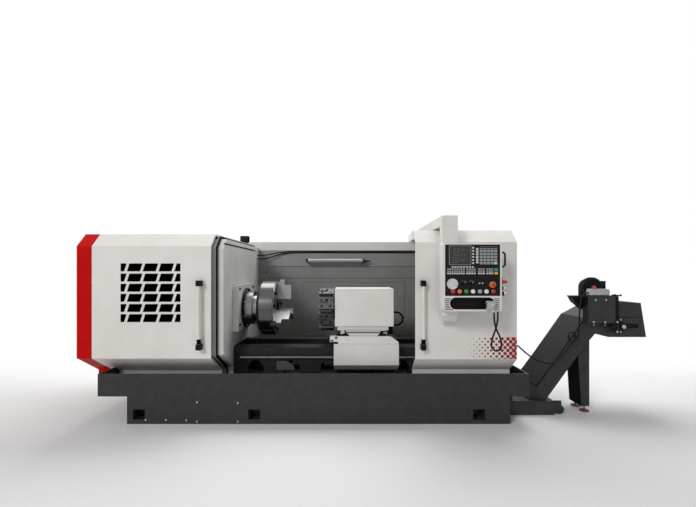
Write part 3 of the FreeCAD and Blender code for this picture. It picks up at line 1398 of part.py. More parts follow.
def make_casing():
    corners = CASING_TOP + CASING_LOW
    body = extrusion("conveyor_casing", "y", [corners], S.conveyor_front, S.conveyor_width)
    gauge = S.conveyor_gauge
    insets = [1.0] * len(corners)
    insets[DISCHARGE_EDGE] = -2.0
    insets[-1] = -2.0
    hollow = []
    for (x, z), (move_x, move_z) in zip(corners, inset_corners(corners, insets)):
        hollow.append((x + gauge * move_x, z + gauge * move_z))
    remove(body, "y", [hollow], S.conveyor_front + gauge, S.conveyor_width - gauge * 2)
    half = S.band_half + S.conveyor_gauge
    plate = rect(S.drive_x - half, S.drive_x + half, S.drive_z - half, S.drive_z + half)
    add(body, "y", [plate], S.conveyor_front - gauge, gauge)
    remove(body, "y", [Circle(S.drive_x, S.drive_z, S.drive_radius + S.bearing_gap)],
           S.conveyor_front - gauge, S.conveyor_width + gauge)
    stadium(body, S.slot_left, S.slot_low, S.slot_length, S.slot_height, S.conveyor_front, gauge)
    node("conveyor_casing", body)


def make_lid():
    (x0, z0), (x1, z1) = CASING_TOP[1], CASING_TOP[2]
    length = math.hypot(x1 - x0, z1 - z0)
    out_x = -(z1 - z0) / length
    out_z = (x1 - x0) / length
    rise = S.lid_thickness
    start = 0.35
    (xs, zs) = CASING_TOP[0]
    first = (xs + (x0 - xs) * start, zs + (z0 - zs) * start)
    outline = [first, (x0, z0), (x1, z1), (x1 + rise * out_x, z1 + rise * out_z),
               (x0 + rise * out_x, z0 + rise * out_z),
               (first[0] + rise * out_x, first[1] + rise * out_z)]
    node("conveyor_lid", extrusion("conveyor_lid", "y", [outline], S.conveyor_front + 20,
                                   S.conveyor_width - 40))


def make_tank():
    left = S.tank_left
    right = left + S.tank_length
    front = S.conveyor_front - S.tank_margin
    back = CONVEYOR_BACK + S.tank_margin
    gauge = S.conveyor_gauge
    body = extrusion("tank_box", "z", [rect(left, right, front, back)], ZERO, S.tank_height)
    remove(body, "z", [rect(left + gauge, right - gauge, front + gauge, back - gauge)], gauge,
           S.tank_height - 2 * gauge)
    remove(body, "z", [outlet_outline(ZERO)], S.tank_height - 2 * gauge, 2 * gauge)
    mouth = rect(2241.0, 2420.0, S.conveyor_front + gauge, CONVEYOR_BACK - gauge)
    remove(body, "z", [mouth], S.tank_height - 2 * gauge, 2 * gauge)
    pieces = [body]
    axle_x = right + S.wheel_size * 1.3
    for number, start in enumerate((front + 20, back - 20 - S.wheel_size * 1.4), 1):
        plate = rect(right, axle_x + 20, S.wheel_size * 0.7, S.tank_height)
        ear = extrusion("wheel_ear_%d" % number, "y", [plate], start, gauge)
        wheel = rod("tank_wheel_%d" % number, "y", axle_x, start + gauge - 1, S.wheel_size,
                    S.wheel_size, S.wheel_size)
        pieces.append(joined("tank_caster_%d" % number, [ear, wheel]))
    node("conveyor_tank", joined("conveyor_tank", pieces))


def make_leg():
    left = S.leg_left
    right = left + S.leg_width
    low_edge = list(reversed(CASING_LOW))
    outline = [(left + S.leg_taper, S.leg_foot), (right, S.leg_foot),
               (right, height_on(low_edge, right.value)), (2891.0, 779.0),
               (left, height_on(low_edge, left.value))]
    body = extrusion("leg_channel", "y", [outline], S.leg_front, S.leg_depth)
    gauge = S.conveyor_gauge
    inside = [(left + S.leg_taper + gauge, S.leg_foot + gauge),
              (right - gauge, S.leg_foot + gauge), (right - gauge, as_size(640.0)),
              (left + gauge * 1.5, as_size(640.0))]
    remove(body, "y", [inside], S.leg_front + gauge, S.leg_depth)
    slot_x = left + S.leg_width * 0.6
    for height in (455.0, 490.0):
        remove(body, "y", [Circle(slot_x, height, 20.0)], S.leg_front - 1, gauge + 2)
    remove(body, "y", [rect(slot_x - 20, slot_x + 20, 455.0, 490.0)], S.leg_front - 1,
           gauge + 2)
    pieces = [body]
    for number, depth in enumerate((S.leg_front + 12, S.leg_front + S.leg_depth - 50), 1):
        stem = rod("foot_stem_%d" % number, "z", slot_x, depth, 5.0, 8.0, S.leg_foot)
        pad = rod("foot_pad_%d" % number, "z", slot_x, depth, ZERO, S.foot_radius, 12.0)
        pieces += [stem, pad]
    node("conveyor_leg", joined("conveyor_leg", pieces))


def make_chain_guard():
    left = S.chain_left
    front = S.conveyor_front - S.chain_depth
    case = block("chain_case", left, front, S.chain_low, S.chain_length, S.chain_depth,
                 S.chain_height)
    right = left + S.chain_length
    strip = block("chain_strip", right - S.guard_strip, front, S.guard_strip_low,
                  S.guard_strip, S.chain_depth, S.chain_low - S.guard_strip_low + 10)
    node("chain_guard", joined("chain_guard", [case, strip]))


def make_gearmotor():
    """The motor lies across the conveyor on a bracket that the casing's top carries."""
    front = S.drum_front
    drum = rod("motor_drum", "y", S.drum_x, front, S.drum_z, S.drum_radius, S.drum_depth)
    back = front + S.drum_depth
    cowl = rod("motor_cowl", "y", S.drum_x, back, S.drum_z, S.cowl_radius, S.cowl_depth)
    body = block("motor_body", S.drum_x - S.cowl_radius, back, S.stand_top, S.cowl_radius * 2,
                 S.cowl_depth, S.drum_z - S.stand_top)
    under = S.stand_top - S.stand_gauge
    depth = S.drum_depth + S.cowl_depth
    plate = block("motor_base", S.stand_left, front, under, S.stand_length, depth,
                  S.stand_gauge)
    upright = block("stand_plate", S.stand_plate, front, S.stand_top, S.stand_gauge, depth,
                    S.stand_plate_height)
    left = S.drum_x - S.cowl_radius / 2
    right = S.stand_plate + S.stand_gauge
    outline = [(left, under), (right, under), (right, height_on(CASING_TOP, right.value)),
               (left, height_on(CASING_TOP, left.value))]
    foot = extrusion("motor_stand", "y", [outline], front + 10, depth - 20)
    unit = joined("gearmotor_unit", [drum, cowl, body, plate, upright, foot])
    terminal = block("terminal_box", S.terminal_left, S.conveyor_front - S.chain_depth,
                     S.chain_low + S.chain_height, S.terminal_length, S.chain_depth - 20,
                     S.terminal_height)
    node("conveyor_gearmotor", group("conveyor_gearmotor", [unit, terminal]))


def make_drive_shaft():
    front = S.conveyor_front - S.chain_depth / 2
    shaft = rod("shaft_bar", "y", S.drive_x, front, S.drive_z, S.drive_radius,
                S.conveyor_width + S.chain_depth / 2 + 20)
    drum = rod("shaft_drum", "y", S.drive_x, S.conveyor_front + 20, S.drive_z,
               S.band_half - S.band_thickness - S.sprocket_gap,
               S.conveyor_width - 40)
    hub = rod("shaft_hub", "y", S.drive_x, front, S.drive_z, S.drive_radius * 1.8, 20.0)
    node("conveyor_shaft", joined("conveyor_shaft", [shaft, drum, hub]))


def make_belt_band():
    points = BELT_PATH + [(S.drive_x.value, S.drive_z.value)]
    start = S.conveyor_front.value + 25
    wire = Part.makePolygon([FreeCAD.Vector(x, start, z) for x, z in points])
    outer = Part.Face(wire.makeOffset2D(S.band_half.value))
    inner = Part.Face(wire.makeOffset2D(S.band_half.value - S.band_thickness.value))
    run = FreeCAD.Vector(0, S.conveyor_width.value - 50, 0)
    band = outer.extrude(run).cut(inner.extrude(run))
    node("conveyor_belt", made("conveyor_belt", band))


# ---------------------------------------------------------------- cables held by the machine

def rear_cable(name, left_drop, rest_drop, sway):
    """A cable from the headstock guard's wall up to the rear guard and along under the rail."""
    top = S.guard_top.value
    low = top - left_drop
    high = top - rest_drop
    start = S.wall_face.value + 0.2
    gap = S.cable_radius.value + 0.3
    rest = band_y(S.guard_top - rest_drop).value - gap
    points = [(start, rest - 70, low), (start + 90, rest - 70, low),
              (start + 200, rest - 56, low + (high - low) * 0.3),
              (start + 330, rest - 20, low + (high - low) * 0.8),
              (start + 480, rest, high + sway)]
    step = (S.tail_wall.value - 0.2 - start - 480) / 6
    for number in range(1, 6):
        points.append((start + 480 + step * number, rest, high + (-sway if number % 2 else sway)))
    points.append((S.tail_wall.value - 0.2, rest, high - sway))
    return cable(name, points, S.cable_radius)


def make_rear_cables():
    upper = rear_cable("upper_cable", 74.0, 13.0, 1.5)
    lower = rear_cable("lower_cable", 124.0, 32.0, -1.5)
    node("rear_cables", group("rear_cables", [upper, lower]))


def make_pulse_cable():
    top = S.pulse_z.value - S.pulse_height.value / 2
    y = S.box_front.value
    low = S.box_low.value
    points = [(1621.0, y - 18, top - 0.2), (1622.0, y - 18, 1060.0), (1646.0, y - 16, 990.0),
              (1668.0, y - 12, 930.0), (1688.0, y - 8, 881.0), (1672.0, y - 4, 822.0),
              (1649.0, y - 2, 806.0), (1626.0, y, 822.0), (1610.0, y + 2, 881.0),
              (1628.0, y + 5, 940.0), (1646.0, y + 10, 990.0), (1662.0, y + 14, 1050.0),
              (1673.0, y + 25, 1095.0), (1673.0, y + 25, low - 0.2)]
    node("pulse_cable", cable("pulse_cable", points, S.pulse_cable_radius))


def make_conveyor_cable():
    """It hangs from the end wall, takes one turn beside the casing and rises to the motor."""
    points = [(1950.2, -400.0, 770.0), (2015.0, -400.0, 770.0), (2104.0, -440.0, 740.0),
              (2152.0, -460.0, 687.0), (2230.0, -462.0, 624.0), (2317.0, -462.0, 575.0),
              (2396.0, -462.0, 552.0), (2459.0, -462.0, 552.0), (2530.0, -461.0, 594.0),
              (2611.0, -460.0, 692.0), (2656.0, -459.0, 752.0), (2704.0, -458.0, 806.0),
              (2704.0, -464.0, 880.0), (2624.0, -472.0, 880.0), (2624.0, -480.0, 800.0),
              (2700.0, -486.0, 782.0), (2727.0, -480.0, 870.0), (2742.0, -472.0, 980.0),
              (2748.0, -466.0, 1085.0), (2762.0, -460.0, 1190.0), (2780.0, -460.0, 1300.0),
              (2851.8, -460.0, 1300.0)]
    node("conveyor_cable", cable("conveyor_cable", points, S.conduit_radius))


# ---------------------------------------------------------------- the whole machine

make_pedestal()
make_chip_pan()
make_bed()
make_headstock()
make_spindle_bearings()
make_nose_cover()
make_spindle()
make_chuck()
for jaw_number, jaw_angle in enumerate(JAW_ANGLES, 1):
    make_jaw(jaw_number, jaw_angle)
make_main_motor()
make_motor_pulley()
make_drive_belt()
make_left_door()
make_left_seal()
make_right_door()
make_handle("left", S.left_handle_x)
make_handle("right", S.right_handle_x)
make_hangers("left", left_hanger, (S.left_end - 90, S.left_start + 200), S.left_handle_x)
make_hangers("right", right_hanger,
             (S.right_start + S.roof_notch + S.hanger_width / 2 + 10, S.right_end - 100),
             S.right_handle_x)
make_headstock_guard()
make_end_cap()
make_rear_guard()
make_rear_rail()
make_work_lamp()
make_carriage()
make_apron_cover()
make_cross_slide()
make_slide_cover()
make_turret_housing()
make_turret_disc()
make_turret_hose()
make_screw()
make_axis_drive()
make_tailstock()
make_quill()
make_pendant_arm()
make_pendant_column()
make_control_box()
make_control_panel()
make_handwheel()
make_selector(1, S.selector_1_x)
make_selector(2, S.selector_2_x)
make_button("estop_button", S.estop_x, S.estop_z, S.estop_radius, S.button_radius * 1.4)
make_button("red_button", button_x(0), S.button_z, S.button_radius, S.button_radius * 0.8)
make_button("green_button", button_x(2), S.button_z, S.button_radius, S.button_radius * 0.8)
make_button("key_switch", button_x(4), S.button_z, S.button_radius, S.button_radius)
make_pulse_unit()
make_casing()
make_lid()
make_tank()
make_leg()
make_chain_guard()
make_gearmotor()
make_drive_shaft()
make_belt_band()
make_rear_cables()
make_pulse_cable()
make_conveyor_cable()
doc.recompute()

for thing in doc.Objects:
    if "Invalid" in thing.State or "Error" in thing.State:
        raise RuntimeError("%s failed: %s" % (thing.Label, thing.State))
for name, thing in NODES.items():
    if thing.Shape.isNull() or not thing.Shape.isValid():
        raise RuntimeError("%s has no valid shape" % name)
for name, thing in NODES.items():
    thing.Shape.exportStep("parts/%s.step" % name)
print("%d sub-parts" % len(NODES))
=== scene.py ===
import math
import random

import bmesh
import bpy
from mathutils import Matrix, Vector


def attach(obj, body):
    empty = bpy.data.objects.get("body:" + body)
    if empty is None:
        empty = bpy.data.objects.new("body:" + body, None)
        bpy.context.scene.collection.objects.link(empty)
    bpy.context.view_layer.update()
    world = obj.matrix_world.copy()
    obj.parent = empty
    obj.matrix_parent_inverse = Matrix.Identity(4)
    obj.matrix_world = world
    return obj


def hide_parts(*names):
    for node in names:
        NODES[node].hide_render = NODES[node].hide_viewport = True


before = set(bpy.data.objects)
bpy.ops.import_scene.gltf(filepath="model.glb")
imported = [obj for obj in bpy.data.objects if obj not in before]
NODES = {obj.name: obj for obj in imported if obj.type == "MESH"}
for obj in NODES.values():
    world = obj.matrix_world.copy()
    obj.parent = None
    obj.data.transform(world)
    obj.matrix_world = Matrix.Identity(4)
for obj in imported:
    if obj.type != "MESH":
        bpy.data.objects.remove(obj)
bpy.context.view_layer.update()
MM = 0.001
UP = Vector((0, 0, 1))
TO_FRONT = Vector((0, -1, 0))
TO_RIGHT = Vector((1, 0, 0))


# ---------------------------------------------------------------- camera and lamps

def place_camera():
    data = bpy.data.cameras.new("camera")
    data.lens = 19.4
    data.sensor_width = 36.0
    data.shift_x = 0.0029
    data.shift_y = 0.0266
    data.clip_end = 200.0
    camera = bpy.data.objects.new("camera", data)
    camera.location = (0.274, -4.44, 1.52)
    camera.rotation_euler = (math.radians(90), 0, 0)
    bpy.context.collection.objects.link(camera)
    bpy.context.scene.camera = camera


def place_lamp(name, location, target, size, watts):
    data = bpy.data.lights.new(name, "AREA")
    data.shape = "RECTANGLE"
    data.size, data.size_y = size
    data.energy = watts
    lamp = bpy.data.objects.new(name, data)
    lamp.location = location
    heading = Vector(target) - Vector(location)
    lamp.rotation_euler = heading.to_track_quat("-Z", "Y").to_euler()
    bpy.context.collection.objects.link(lamp)


# ---------------------------------------------------------------- materials

def linear(colour):
    """An sRGB hex colour as Blender's linear red, green, blue and alpha."""
    parts = [int(colour[i:i + 2], 16) / 255 for i in (1, 3, 5)]
    return tuple(p / 12.92 if p <= 0.04045 else ((p + 0.055) / 1.055) ** 2.4
                 for p in parts) + (1.0,)


def add(tree, kind, settings=None, links=None):
    """Add a node with its settings and the links into it."""
    made = tree.nodes.new(kind)
    for name, value in (settings or {}).items():
        if isinstance(name, str) and hasattr(made, name):
            setattr(made, name, value)
        else:
            made.inputs[name].default_value = value
    for name, source in (links or {}).items():
        tree.links.new(source, made.inputs[name])
    return made


def new_material(name, **shader):
    """A material with a principled shader whose sockets are set directly."""
    material = bpy.data.materials.new(name)
    material.use_nodes = True
    tree = material.node_tree
    tree.nodes.clear()
    settings = {key.replace("_", " "): value for key, value in shader.items()}
    surface = add(tree, "ShaderNodeBsdfPrincipled", settings)
    add(tree, "ShaderNodeOutputMaterial", links={"Surface": surface.outputs[0]})
    place = add(tree, "ShaderNodeTexCoord").outputs["Object"]
    return material, tree, surface, place


def tint(tree, surface, source, dark, light, spread=(0.0, 1.0)):
    """Base colour on a ramp from a dark to a light shade between two positions."""
    ramp = add(tree, "ShaderNodeValToRGB", links={"Fac": source})
    for end, position, colour in zip(ramp.color_ramp.elements, spread, (dark, light)):
        end.position = position
        end.color = linear(colour)
    tree.links.new(ramp.outputs[0], surface.inputs["Base Color"])


def grained(tree, place, grain, detail, stretch):
    """Noise at a grain in millimetres, drawn out by a stretch along each axis."""
    mapped = add(tree, "ShaderNodeMapping", {"Scale": stretch}, {"Vector": place})
    noise = add(tree, "ShaderNodeTexNoise", {"Scale": 1000.0 / grain, "Detail": detail},
                {"Vector": mapped.outputs[0]})
    return noise.outputs["Fac"]


def vary(tree, surface, place, dark, light, grain, spread=(0.35, 0.65), stretch=(1, 1, 1)):
    """Colour that drifts between two shades, at a grain given in millimetres."""
    tint(tree, surface, grained(tree, place, grain, 4.0, stretch), dark, light, spread)


def raise_relief(tree, surface, height, strength, depth, edge=None):
    """A relief of a depth over edges rounded to a radius, both in millimetres."""
    links = {"Height": height}
    if edge:
        soft = add(tree, "ShaderNodeBevel", {"samples": 4, "Radius": edge * MM})
        links["Normal"] = soft.outputs[0]
    relief = add(tree, "ShaderNodeBump", {"Strength": strength, "Distance": depth * MM}, links)
    tree.links.new(relief.outputs[0], surface.inputs["Normal"])


def emboss(tree, surface, place, grain, depth, edge, strength=0.3, stretch=(1, 1, 1)):
    """A fine relief of noise at a grain given in millimetres."""
    raise_relief(tree, surface, grained(tree, place, grain, 2.0, stretch), strength, depth, edge)


def painted(name, dark, light, roughness, grain=300.0, peel=4.0, depth=0.15, edge=5.0,
            gloss=0.5):
    """Sprayed or powder-coated steel: even colour with a faint drift and orange peel."""
    material, tree, surface, place = new_material(name, Roughness=roughness, IOR=1.5,
                                                  Specular_IOR_Level=gloss)
    vary(tree, surface, place, dark, light, grain)
    emboss(tree, surface, place, peel, depth, edge)
    return material


def ground(name, dark, light, roughness, stretch, edge=1.5, grain=3.0):
    """Ground or turned steel: streaks drawn out along the tool's path."""
    material, tree, surface, place = new_material(name, Roughness=roughness, Metallic=1.0)
    vary(tree, surface, place, dark, light, grain, (0.3, 0.7), stretch)
    emboss(tree, surface, place, grain, 0.05, edge, 0.25, stretch)
    return material


def turned(name, dark, light, roughness, centre):
    """Steel turned on a lathe: rings round an axis along X through a centre (Y, Z)."""
    material, tree, surface, place = new_material(name, Roughness=roughness, Metallic=1.0)
    split = add(tree, "ShaderNodeSeparateXYZ", links={"Vector": place})
    off = []
    for axis, middle in zip("YZ", centre):
        shifted = add(tree, "ShaderNodeMath", {"operation": "SUBTRACT", 1: middle},
                      {0: split.outputs[axis]})
        off.append(shifted.outputs[0])
    flat = add(tree, "ShaderNodeCombineXYZ", links={"X": off[0], "Y": off[1]})
    radius = add(tree, "ShaderNodeVectorMath", {"operation": "LENGTH"}, {0: flat.outputs[0]})
    rings = add(tree, "ShaderNodeCombineXYZ", links={"X": radius.outputs["Value"],
                                                     "Y": split.outputs["X"]})
    noise = add(tree, "ShaderNodeTexNoise", {"Scale": 260.0, "Detail": 3.0},
                {"Vector": rings.outputs[0]})
    tint(tree, surface, noise.outputs["Fac"], dark, light, (0.3, 0.7))
    raise_relief(tree, surface, noise.outputs["Fac"], 0.3, 0.08, 2.0)
    return material


def moulded(name, colour, roughness, coat=0.0, gloss=0.5):
    """Injection-moulded plastic or rubber: one colour with a fine spark-eroded texture."""
    material, tree, surface, place = new_material(
        name, Base_Color=linear(colour), Roughness=roughness, Coat_Weight=coat,
        Specular_IOR_Level=gloss)
    emboss(tree, surface, place, 1.2, 0.1, 1.0)
    return material


def glowing(name, colour, strength):
    """A surface that glows in its own colour."""
    return new_material(name, Base_Color=linear(colour), Roughness=0.3,
                        Emission_Color=linear(colour), Emission_Strength=strength)[0]


# White polyester powder coat on folded sheet steel: warm white, soft sheen, faint peel.
WHITE_COAT = painted("white_powder_coat", "#DAD7D2", "#E1DEDA", 0.42)


def dotted_coat(name):
    """White powder coat with a screen-printed fade of red dots at the door's lower right."""
    material = WHITE_COAT.copy()
    material.name = name
    tree = material.node_tree
    surface = next(n for n in tree.nodes if n.type == "BSDF_PRINCIPLED")
    paint = surface.inputs["Base Color"].links[0].from_socket
    place = add(tree, "ShaderNodeTexCoord").outputs["Object"]
    split = add(tree, "ShaderNodeSeparateXYZ", links={"Vector": place})
    x, z = split.outputs["X"], split.outputs["Z"]

    def work(operation, *values):
        """One step of arithmetic on numbers and sockets."""
        node = add(tree, "ShaderNodeMath", {"operation": operation})
        for index, value in enumerate(values):
            if isinstance(value, float):
                node.inputs[index].default_value = value
            else:
                tree.links.new(value, node.inputs[index])
        return node.outputs[0]

    def offset(along, pitch, shift):
        """The distance along one axis from the nearest dot's centre."""
        turns = work("FRACT", work("ADD", work("DIVIDE", along, pitch), shift))
        return work("MULTIPLY", work("SUBTRACT", turns, 0.5), pitch)

    # Dots lie 56.8 mm apart in rows 29.5 mm apart, every other row half a step along.
    def nearest(shift):
        off = add(tree, "ShaderNodeCombineXYZ", links={"X": offset(x, 0.0568, shift + 0.18),
                                                       "Y": offset(z, 0.059, shift + 0.05)})
        return add(tree, "ShaderNodeVectorMath", {"operation": "LENGTH"},
                   {0: off.outputs[0]}).outputs["Value"]

    gap = work("MINIMUM", nearest(0.0), nearest(0.5))
    size = add(tree, "ShaderNodeMapRange", {"From Min": 1.42, "From Max": 1.98, "To Min": 0.0,
                                            "To Max": 0.0215}, {"Value": x}).outputs[0]
    inked = work("LESS_THAN", gap, size)
    low = work("LESS_THAN", z, 0.868)
    high = work("GREATER_THAN", z, 0.650)
    shown = work("MULTIPLY", inked, work("MULTIPLY", low, high))
    mixed = add(tree, "ShaderNodeMix", {"data_type": "RGBA", 7: linear("#8E0C10")},
                {0: shown, 6: paint})
    tree.links.new(mixed.outputs[2], surface.inputs["Base Color"])
    return material


DOTTED_COAT = dotted_coat("white_coat_with_red_dots")
# Red two-pack enamel: deep and even.
RED_ENAMEL = painted("red_enamel", "#B80004", "#C20408", 0.45, gloss=0.08)
# Textured dark grey structure paint on the pedestal, the pan and the conveyor.
GREY_STRUCTURE = painted("dark_structure_paint", "#2A2A2B", "#303031", 0.5, 60.0, 3.0, 0.5, 4.0,
                         gloss=0.3)
# The same paint on the conveyor's top in a darker, rougher copy: the darker colour is painted shade
# on the top.
SHADED_STRUCTURE = painted("shaded_structure_paint", "#1D1D1E", "#242425", 0.65, 60.0, 3.0, 0.5, 4.0,
                         gloss=0.25)
# Satin grey paint inside the enclosure.
GREY_INSIDE = painted("inside_grey_paint", "#7C7C7B", "#848483", 0.5)
# Light machine grey on the headstock and on the wall round it.
LIGHT_GREY = painted("light_machine_grey", "#C2C1BE", "#CBCAC7", 0.45)
# Filled and sprayed casting, coarser than sheet metal.
CASTING = painted("sprayed_casting", "#1F1F20", "#272728", 0.55, 40.0, 9.0, 0.8, 6.0, gloss=0.2)
BLACK_PAINT = painted("black_satin_paint", "#0B0B0B", "#111111", 0.5, gloss=0.12)
MOTOR_PAINT = painted("motor_blue_grey", "#2C3238", "#343B42", 0.4)
# Oil-blackened, ground tool steel.
BLUED_STEEL = ground("blackened_tool_steel", "#2E2E2F", "#4A4A4B", 0.38, (1, 1, 1), 2.0, 12.0)
HARD_STEEL = ground("hardened_jaw_steel", "#80807F", "#9C9C9B", 0.42, (1, 3, 1), 2.0, 10.0)
# Ways ground along X: bright, with streaks along their length.
WAY_STEEL = ground("ground_way_steel", "#6E6E70", "#9C9C9E", 0.3, (0.03, 1, 1), 2.0)
GROUND_STEEL = ground("ground_steel", "#7A7A7C", "#A6A6A8", 0.28, (0.05, 1, 1))
SPINDLE_STEEL = turned("turned_spindle_steel", "#77777A", "#A0A0A3", 0.3, (0.0, 1.1))
CHUCK_STEEL = turned("turned_chuck_steel", "#4C4C4C", "#666665", 0.2, (0.0, 1.1))
DISC_STEEL = turned("turned_disc_steel", "#434343", "#5C5C5C", 0.5, (-0.2, 1.1))
RUBBER = moulded("black_rubber", "#080808", 0.8, gloss=0.06)
GREY_BEZEL = moulded("grey_bezel", "#6E6F6E", 0.5)
ARCH_GREY = painted("cover_grey_paint", "#4E4E4E", "#565656", 0.55, gloss=0.3)


def ribbed(name, colour, roughness, pitch):
    """Rubber or nylon with ribs round it, spaced down the height."""
    material, tree, surface, place = new_material(
        name, Base_Color=linear(colour), Roughness=roughness, Specular_IOR_Level=0.15)
    wave = add(tree, "ShaderNodeTexWave", {"wave_type": "BANDS", "bands_direction": "Z",
                                           "Scale": 2 * math.pi / 20 / (pitch * MM)},
               {"Vector": place})
    raise_relief(tree, surface, wave.outputs["Fac"], 0.8, 1.5)
    return material


# Coiled lead: turns of black sheath lie side by side, 7 mm apart.
CURLY_LEAD = ribbed("curly_lead", "#0F0F10", 0.5, 7.0)
# Corrugated nylon conduit, 5 mm from rib to rib.
CONDUIT = ribbed("corrugated_conduit", "#121213", 0.55, 5.0)
BLACK_PLASTIC = moulded("black_abs", "#101010", 0.5, gloss=0.15)
PANEL_FILM = moulded("black_membrane_film", "#0B0B0B", 0.4, gloss=0.2)
RED_CAP = moulded("red_button_cap", "#B81217", 0.3, coat=0.4)
GREEN_CAP = moulded("green_button_cap", "#128A3C", 0.3, coat=0.4)
ORANGE_CAP = moulded("orange_button_cap", "#D9791A", 0.3, coat=0.4)
WHITE_CAP = moulded("white_lamp_cap", "#E8E6E0", 0.3, coat=0.4)
GREY_KEY = moulded("grey_membrane_key", "#8E9092", 0.45)
PALE_KEY = moulded("pale_membrane_key", "#C9CBCC", 0.45)
YELLOW_KEY = moulded("yellow_membrane_key", "#D8B52A", 0.45)
CHROME = ground("plated_barrel", "#B4B4B6", "#D0D0D2", 0.15, (1, 1, 1), 1.0)
GREY_KNOB = moulded("light_grey_knob", "#D2D2D0", 0.3)
SCREEN = glowing("lcd_screen", "#1D1C19", 0.2)
TRACE = glowing("lcd_trace", "#64605A", 0.4)
TUBE_LIGHT = glowing("lamp_tube_glass", "#9A9A9A", 0.0)
# Die-cast terminal box, blasted and left bare.
DIE_CAST = painted("blasted_die_casting", "#A6A6A5", "#B4B4B3", 0.5, 20.0, 2.0, 0.2, 2.0)
# Zinc-plated steel: screws, nuts and washers.
ZINC = ground("zinc_plated_steel", "#B9BABB", "#D3D4D5", 0.35, (1, 1, 1), 0.6, 4.0)


NODE_FINISH = {
    GREY_STRUCTURE: ("pedestal", "chip_pan", "conveyor_casing", "conveyor_tank", "conveyor_leg",
                     "chain_guard"),
    # The lid takes the darker copy of the paint: painted shade on the conveyor's top.
    SHADED_STRUCTURE: ("conveyor_lid",),
    CASTING: ("bed", "carriage"),
    LIGHT_GREY: ("headstock", "headstock_guard", "tailstock"),
    GROUND_STEEL: ("spindle_bearings", "quill", "ball_screw"),
    BLACK_PAINT: ("spindle_nose_cover", "left_door_brackets", "right_door_brackets",
                  "axis_drive", "motor_pulley", "conveyor_gearmotor"),
    MOTOR_PAINT: ("main_motor",),
    RUBBER: ("drive_belt", "left_door_seal", "rear_cables", "turret_hose"),
    RED_ENAMEL: ("end_cap",),
    GREY_INSIDE: ("rear_guard",),
    DOTTED_COAT: ("right_door",),
    WHITE_COAT: ("rear_rail", "pendant_arm", "left_door", "left_door_handle",
                 "right_door_handle", "apron_cover", "cross_slide_cover", "turret_housing",
                 "pendant_column", "control_box"),
    BLUED_STEEL: ("cross_slide", "conveyor_belt", "conveyor_shaft"),
    HARD_STEEL: ("jaw_1", "jaw_2", "jaw_3"),
    SPINDLE_STEEL: ("spindle",),
    CHUCK_STEEL: ("chuck_body",),
    DISC_STEEL: ("turret_disc",),
    PANEL_FILM: ("control_panel",),
    BLACK_PLASTIC: ("selector_1", "selector_2"),
    DIE_CAST: ("pulse_unit",),
    GREY_KNOB: ("handwheel",),
    RED_CAP: ("red_button",),
    ORANGE_CAP: ("estop_button",),
    GREEN_CAP: ("green_button",),
    CHROME: ("key_switch",),
    TUBE_LIGHT: ("work_lamp",),
}


def finish_nodes():
    for material, names in NODE_FINISH.items():
        for name in names:
            for slot in NODES[name].material_slots:
                slot.material = material


# ---------------------------------------------------------------- mesh helpers

def piece(name, shape, material, seat):
    """A finished piece from a bmesh or mesh; its seat is a body and a record slot, and the slot is
    not used.
    """
    mesh = shape if isinstance(shape, bpy.types.Mesh) else mesh_from(name, shape)
    body, slot = seat
    made = bpy.data.objects.new(name, mesh)
    bpy.context.collection.objects.link(made)
    made.data.materials.clear()
    made.data.materials.append(material)
    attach(made, body)
    return made


def box_mesh(shape, low, high, bevel=0.0):
    """Add a box between two corners to a bmesh, with its edges broken."""
    low = Vector(low)
    high = Vector(high)
    part = bmesh.new()
    bmesh.ops.create_cube(part, size=1.0)
    for vertex in part.verts:
        for axis in range(3):
            middle = (low[axis] + high[axis]) / 2
            vertex.co[axis] = middle + vertex.co[axis] * (high[axis] - low[axis])
    if bevel:
        bmesh.ops.bevel(part, geom=part.edges[:], offset=bevel, segments=2, affect="EDGES",
                        profile=0.5)
    merge(shape, part)


def merge(shape, part):
    """Add a bmesh to another and free it."""
    mesh = bpy.data.meshes.new("part")
    part.to_mesh(mesh)
    part.free()
    shape.from_mesh(mesh)
    bpy.data.meshes.remove(mesh)


def skin(shape, rings):
    """Walls between closed rings of as many corners."""
    for first, second in zip(rings, rings[1:]):
        for index in range(len(first)):
            following = (index + 1) % len(first)
            shape.faces.new((first[index], first[following], second[following], second[index]))


# Where the outline's two values and the end go, as X, Y and Z.
ALONG_X = (2, 0, 1)
ALONG_Y = (0, 2, 1)


def prism(shape, outline, low, high, order=ALONG_X, bevel=0.0):
    """Add a solid between two ends of an outline, in millimetres."""
    part = bmesh.new()
    near, far = [[part.verts.new([(a, b, end)[index] * MM for index in order])
                  for a, b in outline] for end in (low, high)]
    part.faces.new(near)
    part.faces.new(list(reversed(far)))
    skin(part, [far, near])
    bmesh.ops.recalc_face_normals(part, faces=part.faces[:])
    if bevel:
        bmesh.ops.bevel(part, geom=part.edges[:], offset=bevel * MM, segments=1,
                        affect="EDGES")
    merge(shape, part)


